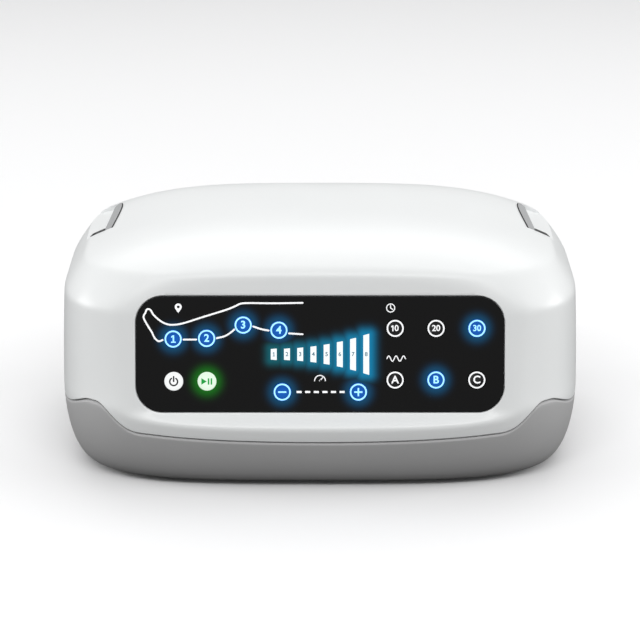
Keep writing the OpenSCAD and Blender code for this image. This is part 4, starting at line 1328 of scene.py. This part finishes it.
class KeyLook(Enum):
    """How a key is finished."""

    BLUE = "key_blue"
    WHITE = "key_white"
    BLACK = "key_black"


class Sign(Enum):
    """What a key carries besides plain numbers and letters."""

    POWER = "power"
    START = "start"
    MINUS = "minus"
    PLUS = "plus"


@dataclass(frozen=True)
class Key:
    """One round key: its body's name, its place on the panel, its look and its mark."""

    name: str
    u: float
    v: float
    look: KeyLook
    mark: str | Sign


KEYS = (
    Key("key_zone_1", -71.5, 7.5, KeyLook.BLUE, "1"),
    Key("key_zone_2", -55.2, 7.8, KeyLook.BLUE, "2"),
    Key("key_zone_3", -37.4, 14.3, KeyLook.BLUE, "3"),
    Key("key_zone_4", -20.0, 11.8, KeyLook.BLUE, "4"),
    Key("key_power", -71.3, -13.2, KeyLook.WHITE, Sign.POWER),
    Key("key_start_pause", -55.1, -13.2, KeyLook.WHITE, Sign.START),
    Key("key_minus", -18.4, -18.4, KeyLook.BLUE, Sign.MINUS),
    Key("key_plus", 18.7, -18.4, KeyLook.BLUE, Sign.PLUS),
    Key("key_time_10", 36.6, 12.7, KeyLook.BLACK, "10"),
    Key("key_time_20", 56.5, 12.7, KeyLook.BLACK, "20"),
    Key("key_time_30", 76.4, 12.7, KeyLook.BLUE, "30"),
    Key("key_mode_a", 36.6, -12.5, KeyLook.BLACK, "A"),
    Key("key_mode_b", 56.5, -12.5, KeyLook.BLUE, "B"),
    Key("key_mode_c", 76.4, -12.5, KeyLook.BLACK, "C"),
)


class Print:
    """Flat printed marks, drawn as closed loops on a plane and raised by the ink's thickness."""

    def __init__(self, plane: Plane, height: float, ink: float = 0.04) -> None:
        """Starts a print.

        Args:
            plane: Plane that it lies on.
            height: Height of the printed surface over the plane.
            ink: How far the ink stands proud.
        """
        self.plane = plane
        self.height = height
        self.ink = ink
        self.loops: list[np.ndarray] = []
        self.words: list[tuple[str, float, float, float]] = []

    def disc(self, u: float, v: float, radius: float) -> None:
        """Adds a round dot, or a hole where it lies inside a larger one."""
        self.loops.append(circle_outline(radius, 48) + np.array([u, v]))

    def ring(self, u: float, v: float, outer: float, inner: float) -> None:
        """Adds a ring."""
        self.disc(u, v, outer)
        self.disc(u, v, inner)

    def box(self, u: float, v: float, width: float, height: float, radius: float = 0.15) -> None:
        """Adds a filled box with soft corners."""
        self.loops.append(rounded_outline(width, height, radius, 0, 4) + np.array([u, v]))

    def shape(self, points: Sequence[tuple[float, float]]) -> None:
        """Adds a filled outline."""
        self.loops.append(np.array(points, float))

    def line(self, points: np.ndarray, width: float) -> None:
        """Adds a line with round ends along points that lie close together."""
        points = np.asarray(points, float)
        along = np.gradient(points, axis=0)
        along /= np.linalg.norm(along, axis=1)[:, None]
        side = np.stack([-along[:, 1], along[:, 0]], 1) * width / 2
        loop = [points + side]
        for end, out in ((-1, 1), (0, -1)):
            turn = np.linspace(0, math.pi, 8)[1:-1]
            cap = (np.cos(turn)[:, None] * side[end] * out
                   + np.sin(turn)[:, None] * along[end] * out * width / 2)
            loop.append(points[end] + cap)
            if end == -1:
                loop.append((points - side)[::-1])
        self.loops.append(np.concatenate(loop))

    def arc(self, u: float, v: float, radius: float, start: float, end: float,
            width: float) -> None:
        """Adds an arc between two angles in degrees, anticlockwise from the right."""
        turn = np.radians(np.linspace(start, end, 40))
        self.line(np.stack([u + radius * np.cos(turn), v + radius * np.sin(turn)], 1), width)

    def text(self, words: str, u: float, v: float, size: float) -> None:
        """Adds plain numbers or letters, centred on a place."""
        if words.startswith("1"):
            footed = len(words) == 1
            self.one(u - (0 if footed else 0.3 * size), v, 0.7 * size, footed)
            u, words = u + 0.17 * size, words[1:]
        if words:
            self.words.append((words, u, v, size))

    def one(self, u: float, v: float, height: float, footed: bool) -> None:
        """Adds a numeral one with a flag, and with a foot where it stands alone."""
        foot = [(-0.06, -0.35), (-0.28, -0.35), (-0.28, -0.5), (0.36, -0.5), (0.36, -0.35),
                (0.14, -0.35)]
        points = [(0.14, 0.5), (-0.04, 0.5), (-0.26, 0.34), (-0.26, 0.16), (-0.06, 0.27),
                  *(foot if footed else [(-0.06, -0.5), (0.14, -0.5)])]
        self.shape([(u + x * height, v + y * height) for x, y in points])

    def mesh(self) -> bpy.types.Mesh:
        """The whole print as one closed mesh on its plane."""
        merged = bmesh.new()
        curves = [self._drawn()] if self.loops else []
        for curve in [*curves, *(self._lettered(*word) for word in self.words)]:
            holder = bpy.data.objects.new("print_draft", curve)
            bpy.context.scene.collection.objects.link(holder)
            bpy.context.view_layer.update()
            draft = bpy.data.meshes.new_from_object(
                holder.evaluated_get(bpy.context.evaluated_depsgraph_get()))
            merged.from_mesh(draft)
            bpy.data.objects.remove(holder)
            bpy.data.meshes.remove(draft)
        bmesh.ops.remove_doubles(merged, verts=merged.verts, dist=1e-5)
        for vertex in merged.verts:
            u, v, w = vertex.co
            vertex.co = Vector(self.plane.world([u, v, self.height + w]) * MM)
        mesh = bpy.data.meshes.new("print")
        merged.to_mesh(mesh)
        merged.free()
        return mesh

    def settled(self, name: str, body: str, ink: Finish, slot: str) -> None:
        """Makes the whole print one piece on a body."""
        settle(new_object(name, self.mesh()), body, ink, smooth=None)

    def _drawn(self) -> bpy.types.Curve:
        """The loops as one filled curve, in millimetres."""
        curve = bpy.data.curves.new("loops", "CURVE")
        curve.dimensions = "2D"
        curve.fill_mode = "BOTH"
        curve.extrude = self.ink
        for loop in self.loops:
            spline = curve.splines.new("POLY")
            spline.points.add(len(loop) - 1)
            for point, (u, v) in zip(spline.points, loop):
                point.co = (u, v, 0.0, 1.0)
            spline.use_cyclic_u = True
        return curve

    def _lettered(self, words: str, u: float, v: float, size: float) -> bpy.types.Curve:
        """Numbers or letters as a filled curve, in millimetres."""
        curve = bpy.data.curves.new("words", "FONT")
        for setting, value in {
                "body": words, "size": size, "align_x": "CENTER", "align_y": "CENTER",
                "offset": size * 0.022, "extrude": self.ink, "offset_x": u, "offset_y": v,
                "resolution_u": 6}.items():
            setattr(curve, setting, value)
        return curve


def smooth_path(knots: Sequence[tuple[float, float]], steps: int = 14) -> np.ndarray:
    """Points along a smooth curve through knots."""
    knots = np.array([(2 * np.array(knots[0]) - knots[1]), *knots,
                      (2 * np.array(knots[-1]) - knots[-2])], float)
    t = np.linspace(0, 1, steps, endpoint=False)[:, None]
    parts = []
    for a, b, c, d in zip(knots, knots[1:], knots[2:], knots[3:]):
        parts.append(0.5 * (2 * b + (c - a) * t + (2 * a - 5 * b + 4 * c - d) * t ** 2
                            + (3 * b - a - 3 * c + d) * t ** 3))
    return np.concatenate([*parts, [knots[-2]]])


@dataclass
class ControlPanel:
    """Black front panel with its halos, printed marks, light bars and keys."""

    flat: FrontFlat
    key_radius: float = 4.4
    key_gap: float = 0.2
    key_proud: float = 0.7
    key_round: float = 0.35
    flange_reach: float = 0.9
    flange_thickness: float = 0.8
    stem_radius: float = 2.0
    stem_length: float = 1.5
    ring_inset: float = 0.25
    ring_width: float = 0.75
    bar_count: int = 8
    bar_pitch: float = 6.44
    bar_width: float = 2.8
    bar_low: float = 5.3
    bar_high: float = 19.2
    bar_power: float = 2.1
    bar_slant: float = 0.045
    line_width: float = 0.85
    thin_line: float = 0.5
    sign_width: float = 0.75
    sign_length: float = 4.0
    letter: float = 5.2
    letters: float = 4.1
    pin: tuple[float, float] = (-69.0, 23.1)
    clock: tuple[float, float] = (34.4, 22.6)
    wave: tuple[float, float] = (32.6, -2.1)
    gauge: tuple[float, float] = (0.0, -12.9)

    @property
    def face(self) -> float:
        """Height of the panel's face over the front flat."""
        return -self.flat.sink

    def bar_x(self, i: int) -> float:
        """Distance of a light bar from the panel's middle."""
        return (i - (self.bar_count - 1) / 2) * self.bar_pitch

    def bar_height(self, i: int) -> float:
        """Height of a light bar."""
        share = (i / (self.bar_count - 1)) ** self.bar_power
        return self.bar_low + (self.bar_high - self.bar_low) * share

    def bar_outline(self, i: int, grow: float) -> np.ndarray:
        """Outline of a light bar, whose ends slant with the fan."""
        half = self.bar_width / 2 + grow
        low, high = (self.bar_height(i) / 2 * (1 + slant) + grow
                     for slant in (-self.bar_slant, self.bar_slant))
        corners = [(-half, -low), (half, -high), (half, high), (-half, low)]
        return np.array(corners) + [self.bar_x(i), 0]

    def lamps(self) -> tuple[Lamp, ...]:
        """What lights the panel round itself."""
        blue, green = (0.0, 0.052, 0.125), (0.002, 0.125, 0.003)
        lamps = [Lamp(key.u, key.v, 0, 0, self.key_radius, 3.0, blue) for key in KEYS
                 if key.look is KeyLook.BLUE]
        start = next(key for key in KEYS if key.mark is Sign.START)
        lamps.append(Lamp(start.u, start.v, 0, 0, self.key_radius, 3.2, green))
        for i in range(self.bar_count):
            share = i / (self.bar_count - 1)
            cyan = (0.0, 0.10 + 0.10 * share, 0.13 + 0.26 * share)
            lamps.append(Lamp(self.bar_x(i), 0, self.bar_width / 2, self.bar_height(i) / 2, 0,
                              2.9 + 0.4 * share, cyan))
        return tuple(lamps)

    def build_sheet(self) -> None:
        """The panel itself, with holes for the keys and the light bars."""
        flat, back, over = self.flat, self.face - self.flat.thickness, self.face + 2
        rim = [(0.0, back), *((-grow, self.face + sunk) for grow, sunk in round_over(0.35, 4))]
        blank = grown(lambda grow: flat.outline(grow, 20), rim).seated(flat.plane)
        sheet = new_object("panel_sheet", blank)
        reach = self.key_radius + self.key_gap
        hole = [(reach, back - 1),
                *((reach + grow, self.face + sunk) for grow, sunk in round_over(0.15, 3)),
                (reach + 0.15, over)]
        holes = [revolved(hole, 72).moved(key.u, key.v) for key in KEYS]
        holes += [Solid.stack([raised(self.bar_outline(i, 0.05), w) for w in (back - 1, over)])
                  for i in range(self.bar_count)]
        machine(sheet, [(Cut.REMOVE, Solid.joined(holes).seated(flat.plane))])
        finish = PanelSheet("black_panel_print", (0.004, 0.004, 0.0042), flat.plane, self.lamps())
        settle(sheet, HOUSING, finish, ["control_panel"])

    def build_print(self) -> None:
        """White printed marks: the leg outline, the dashes and small plain signs."""
        marks = Print(self.flat.plane, self.face)
        toe, heel, end = (-85.0, 20.3), (-80.5, 8.0), -8.5
        upper = [toe, (-84.2, 21.9), (-82.6, 21.7), (-80.8, 19.0), (-76.6, 15.6), (-72.3, 14.4),
                 (-66.5, 15.2), (-57.0, 18.2), (-46.0, 21.6), (-41.5, 23.4), (-38.6, 24.7),
                 (-34.5, 25.0), (-22.0, 24.9), (end, 25.1)]
        sole = [toe, (-85.9, 18.0), (-84.0, 14.2), (-81.9, 10.8), heel, (-78.6, 6.4), (-76.6, 7.0)]
        marks.line(smooth_path(sole[::-1] + upper[1:]), self.line_width)
        calf = [(-50.3, 7.9), (-46.6, 8.8), (-43.8, 10.4), (-41.6, 12.2)]
        thigh = [(-32.6, 13.6), (-28.6, 12.3), (-25.0, 11.6)]
        for knots in ([(-66.5, 7.2), (-60.3, 7.2)], calf, thigh, [(-15.1, 10.2), (end, 9.8)]):
            marks.line(smooth_path(knots), self.line_width)
        for i in range(6):
            marks.box((i - 2.5) * 4.19 + 0.3, -18.4, 2.5, 1.0)
        self._draw_signs(marks)
        marks.settled("panel_print", HOUSING, Palette.white_ink, "key_white")

    def _draw_signs(self, marks: Print) -> None:
        """Plain signs over each group of keys: a place, a clock, a wave and a gauge."""
        turn = np.radians(np.linspace(-40, 220, 30))
        u, v = self.pin
        drop = np.stack([u + 1.7 * np.cos(turn), v + 1.7 * np.sin(turn)], 1)
        marks.shape([*map(tuple, drop), (u, v - 2.9)])
        marks.disc(u, v, 0.7)
        u, v = self.clock
        marks.ring(u, v, 2.2, 1.75)
        marks.line(smooth_path([(u, v + 1.4), (u, v), (u + 1.1, v - 0.7)]), 0.45)
        u, v = self.wave
        wave = np.linspace(0, 2.5, 40)
        marks.line(np.stack([u + 3.6 * wave, v + 1.3 * np.sin(2 * math.pi * wave)], 1),
                   self.thin_line)
        u, v = self.gauge
        marks.arc(u, v, 2.6, 0, 180, self.thin_line)
        marks.line(smooth_path([(u, v), (u + 1.3, v + 1.6)]), self.thin_line)
        marks.disc(u, v, 0.45)

    def build_bars(self) -> None:
        """Lit bars of the pressure display, with a plain number on each."""
        finish = Backlit("lit_bar", (0.93, 0.99, 1.0), 0.95, self.flat.plane, (0, 0), 60.0, 0.85)
        dress(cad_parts["pressure_lights"], finish)
        marks = Print(self.flat.plane, self.face, 0.03)
        for i in range(self.bar_count):
            marks.text(str(i + 1), self.bar_x(i), 0, 2.9)
        marks.settled("bar_numbers", HOUSING, Ink("blue_grey_ink", (0.14, 0.27, 0.36)),
                      "panel_black")

    def _key_solid(self, key: Key) -> Solid:
        """Cap, flange and stem of one key."""
        top, wide = self.face + self.key_proud, self.key_radius + self.flange_reach
        flange = self.face - self.flat.thickness - 0.1
        under = flange - self.flange_thickness
        foot = under - self.stem_length
        profile = [(0.6 * self.stem_radius, foot), (self.stem_radius, foot),
                   (self.stem_radius, under), (wide, under), (wide, flange),
                   (self.key_radius, flange),
                   *((self.key_radius - grow, top + sunk)
                     for grow, sunk in round_over(self.key_round, 6))]
        return revolved(profile, 80).moved(key.u, key.v).seated(self.flat.plane)

    def _key_finish(self, key: Key) -> Finish:
        """Finish of a key's cap."""
        if key.look is KeyLook.BLACK:
            return Palette.key_black
        if key.look is KeyLook.BLUE:
            look, tint, strength, rim = "blue", from_screen(0, 92, 188), 0.85, 0.6
        else:
            tint = (0.80, 0.96, 0.80) if key.mark is Sign.START else (0.93, 0.95, 0.95)
            look, strength, rim = "white", 0.95, 0.9
        return Backlit(f"lit_{look}_{key.name[4:]}", tint, strength, self.flat.plane,
                       (key.u, key.v), self.key_radius, rim)

    def build_key(self, key: Key) -> None:
        """One key and the mark printed on it."""
        cap = new_object(f"cap_{key.name[4:]}", self._key_solid(key))
        settle(cap, key.name, self._key_finish(key), [key.name], CAP_ANGLE)
        mark = Print(self.flat.plane, self.face + self.key_proud)
        if key.look is not KeyLook.WHITE:
            outer = self.key_radius - self.ring_inset
            mark.ring(key.u, key.v, outer, outer - self.ring_width)
        self._draw_mark(mark, key)
        plain = Palette.white_ink if key.look is KeyLook.BLACK else Palette.blue_ink
        ink = {Sign.POWER: Palette.dark_ink, Sign.START: Palette.green_ink}.get(key.mark, plain)
        mark.settled(f"mark_{key.name[4:]}", key.name, ink, "key_white")

    def _draw_mark(self, mark: Print, key: Key) -> None:
        """Draws a key's number, letter or sign."""
        u, v, width = key.u, key.v, self.sign_width
        if key.mark is Sign.POWER:
            mark.arc(u, v - 0.1, 1.9, 125, 415, width)
            mark.line(smooth_path([(u, v), (u, v + 2.3)]), width)
        elif key.mark is Sign.START:
            mark.shape([(u - 2.7, v - 1.6), (u - 0.1, v), (u - 2.7, v + 1.6)])
            for along in (0.8, 2.2):
                mark.box(u + along, v, width, 3.1)
        elif key.mark is Sign.MINUS:
            mark.box(u, v, self.sign_length, width)
        elif key.mark is Sign.PLUS:
            half, reach = width / 2, self.sign_length / 2
            arm, cross = [(half, half), (half, reach), (-half, reach)], []
            for _ in range(4):
                cross += arm
                arm = [(-y, x) for x, y in arm]
            mark.shape([(u + x, v + y) for x, y in cross])
        else:
            mark.text(key.mark, u, v, self.letter if len(key.mark) == 1 else self.letters)

    def build(self) -> None:
        """The whole panel."""
        self.build_sheet()
        self.build_print()
        self.build_bars()
        for key in KEYS:
            self.build_key(key)


@dataclass
class CarriedOver:
    """Construction nodes whose shape is right, and which only need a finish and soft edges."""

    soft_edge: float = 0.25

    def build(self) -> None:
        """Dresses every node that nothing stands for."""
        finishes: dict[Finish, tuple[str, list[str]]] = {
            Palette.board: ("circuit_board", ["key_board", "main_board"]),
            Palette.part: ("switch_black", ["key_switches", "solenoid_valves", "board_components",
                                            "remote_receiver"]),
            Palette.diffuser: ("light_white", ["display_leds"]),
            Palette.steel: ("steel", ["board_screws", "compressor_chassis", "compressor_armature",
                                      "housing_screws"]),
            Palette.plate: ("plate_grey", ["rear_plate"]),
            Palette.socket: ("socket_black", ["hose_socket_left", "hose_socket_right",
                                              "mains_inlet"]),
            Palette.brass: ("brass", ["inlet_pins"]),
            Palette.plain: ("part_white", ["valve_manifold"]),
            Palette.tube: ("tube_clear", ["port_tubes", "supply_tubes"]),
            Palette.core: ("core_iron", ["compressor_cores", "mains_transformer"]),
            Palette.winding: ("copper", ["compressor_coils"]),
            Palette.head: ("head_grey", ["compressor_heads"]),
            Palette.rubber: ("rubber_black", ["compressor_diaphragms", "compressor_mounts",
                                              "rubber_feet"]),
            Palette.felt: ("filter_grey", ["intake_filter"]),
        }
        for finish, (slot, names) in finishes.items():
            for name in names:
                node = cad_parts[name]
                dress(node, finish)
                self._soften(node)
                LOG.info("%s: finished as %s", name, finish.name)

    def _soften(self, node: bpy.types.Object) -> None:
        """Rounds a node's sharp edges a little, with its mesh left as it is."""
        weld = node.modifiers.new("weld", "WELD")
        weld.merge_threshold = 1e-6
        bevel = node.modifiers.new("soft_edges", "BEVEL")
        bevel.width = self.soft_edge * MM
        bevel.segments = 2
        bevel.limit_method = "ANGLE"
        bevel.angle_limit = BEVEL_ANGLE
        bevel.use_clamp_overlap = True


# --- studio


@dataclass
class Studio:
    """Pale floor, soft light and the camera."""

    target_height: float = 57.5
    elevation: float = math.radians(17.7)
    distance: float = 1400.0
    lens: float = 152.0
    sensor: float = 36.0
    seen_from: float = 0.05
    seen_to: float = 20.0

    def build_camera(self) -> None:
        """Camera straight in front of the pump, a little above it."""
        data = bpy.data.cameras.new("camera")
        data.lens = self.lens
        data.sensor_width = self.sensor
        data.clip_start, data.clip_end = self.seen_from, self.seen_to
        camera = bpy.data.objects.new("camera", data)
        bpy.context.scene.collection.objects.link(camera)
        back = Vector((0, -math.cos(self.elevation), math.sin(self.elevation)))
        camera.location = Vector((0, 0, self.target_height * MM)) + back * self.distance * MM
        camera.rotation_euler = (-back).to_track_quat("-Z", "Y").to_euler()
        bpy.context.scene.camera = camera

    def build_floor(self) -> None:
        """Pale floor that keeps the pump's shadow."""
        bpy.ops.mesh.primitive_plane_add(size=12)
        floor = bpy.context.object
        floor.name = "floor"
        material = bpy.data.materials.new("pale_floor")
        material.use_nodes = True
        sheet = Sheet(material.node_tree)
        seen = sheet.add("LightPath").outputs["Is Camera Ray"]
        tone = sheet.mix(seen, opaque(FLOOR_CAST), opaque(FLOOR_SEEN))
        shader = sheet.add("BsdfPrincipled", {"Base Color": tone, "Roughness": 0.55,
                                              "Specular IOR Level": 0.2})
        sheet.add("OutputMaterial", {"Surface": shader.outputs[0]})
        floor.data.materials.append(material)

    def build_world(self) -> None:
        """White surroundings that also show in gloss."""
        world = bpy.data.worlds.new("surroundings")
        bpy.context.scene.world = world
        world.use_nodes = True
        sheet = Sheet(world.node_tree)
        path = sheet.add("LightPath")
        seen = sheet.math("MAXIMUM", path.outputs["Is Camera Ray"],
                          path.outputs["Is Transmission Ray"])
        strength = sheet.spread(seen, 0.0, 1.0, SKY_CAST, SKY_SEEN)
        shade = sheet.add("Background", {"Color": (1.0, 1.0, 1.0, 1.0), "Strength": strength})
        sheet.add("OutputWorld", {"Surface": shade.outputs[0]})

    def build_lamp(self, name: str, place: Colour, aim_height: float, size: tuple[float, float],
                   power: float) -> None:
        """One soft box.

        Args:
            name: Its name.
            place: Where it hangs, in metres.
            aim_height: Height over the middle of the floor that it points at, in metres.
            size: Width and height in metres.
            power: Power in watts.
        """
        data = bpy.data.lights.new(name, "AREA")
        data.shape = "RECTANGLE"
        data.size, data.size_y = size
        data.energy = power
        lamp = bpy.data.objects.new(name, data)
        bpy.context.scene.collection.objects.link(lamp)
        lamp.location = place
        aim = Vector((0.0, 0.0, aim_height)) - Vector(place)
        lamp.rotation_euler = aim.to_track_quat("-Z", "Y").to_euler()

    def build(self) -> None:
        """The whole studio."""
        self.build_camera()
        self.build_floor()
        self.build_world()
        for lamp in (("overhead", (0.0, 0.85, 1.35), 0.0, (1.6, 0.8), 7.0),
                     ("front", (0.0, -1.7, 1.75), 0.06, (2.4, 0.6), 24.0),
                     ("front_left", (-1.7, -0.7, 1.0), 0.06, (0.9, 0.9), 4.5),
                     ("front_right", (1.7, -0.65, 1.0), 0.06, (0.9, 0.9), 5.0),
                     ("side_left", (-1.7, 0.1, 0.55), 0.07, (0.8, 0.5), 9.0),
                     ("side_right", (1.7, 0.1, 0.55), 0.07, (0.8, 0.5), 10.0)):
            self.build_lamp(*lamp)
        bpy.context.scene.view_settings.view_transform = "Standard"


def pump_form() -> tuple[BodyForm, FrontFlat, Grip, RearBay]:
    """The housing's form and its recesses, sized from the construction model."""
    _, high = node_box("upper_housing")
    foot_gap = float(node_box("lower_housing")[0][2])
    panel_low, panel_high = node_box("control_panel")
    front = Plane((0.0, FLAT_Y, foot_gap + FLAT_Z), (1.0, 0.0, 0.0),
                  (0.0, math.sin(FLAT_TILT), math.cos(FLAT_TILT)))
    flat = FrontFlat(front, panel_width=float(panel_high[0] - panel_low[0]))
    form = BodyForm(half_width=float(high[0]), half_depth=float(high[1]),
                    height=float(high[2]) - foot_gap, foot_gap=foot_gap, front=front,
                    flat_low=-flat.panel_height / 2 - FLAT_MARGIN)
    rear = Plane((0.0, PLATE_Y, foot_gap + PLATE_Z), (-1.0, 0.0, 0.0), (0.0, 0.0, 1.0))
    return form, flat, Grip(form), RearBay(rear, form)


def main() -> None:
    """Builds the studio, the housing, the panel and what is carried over, in that order."""
    logging.basicConfig(level=logging.INFO, format="%(name)s %(message)s")
    Studio().build()
    form, flat, grip, bay = pump_form()
    housing = Housing(form, Seam(form.half_width), flat, grip, bay)
    housing.build_upper()
    housing.build_lower()
    housing.build_liners()
    ControlPanel(flat).build()
    CarriedOver().build()


if __name__ == "__main__":
    main()
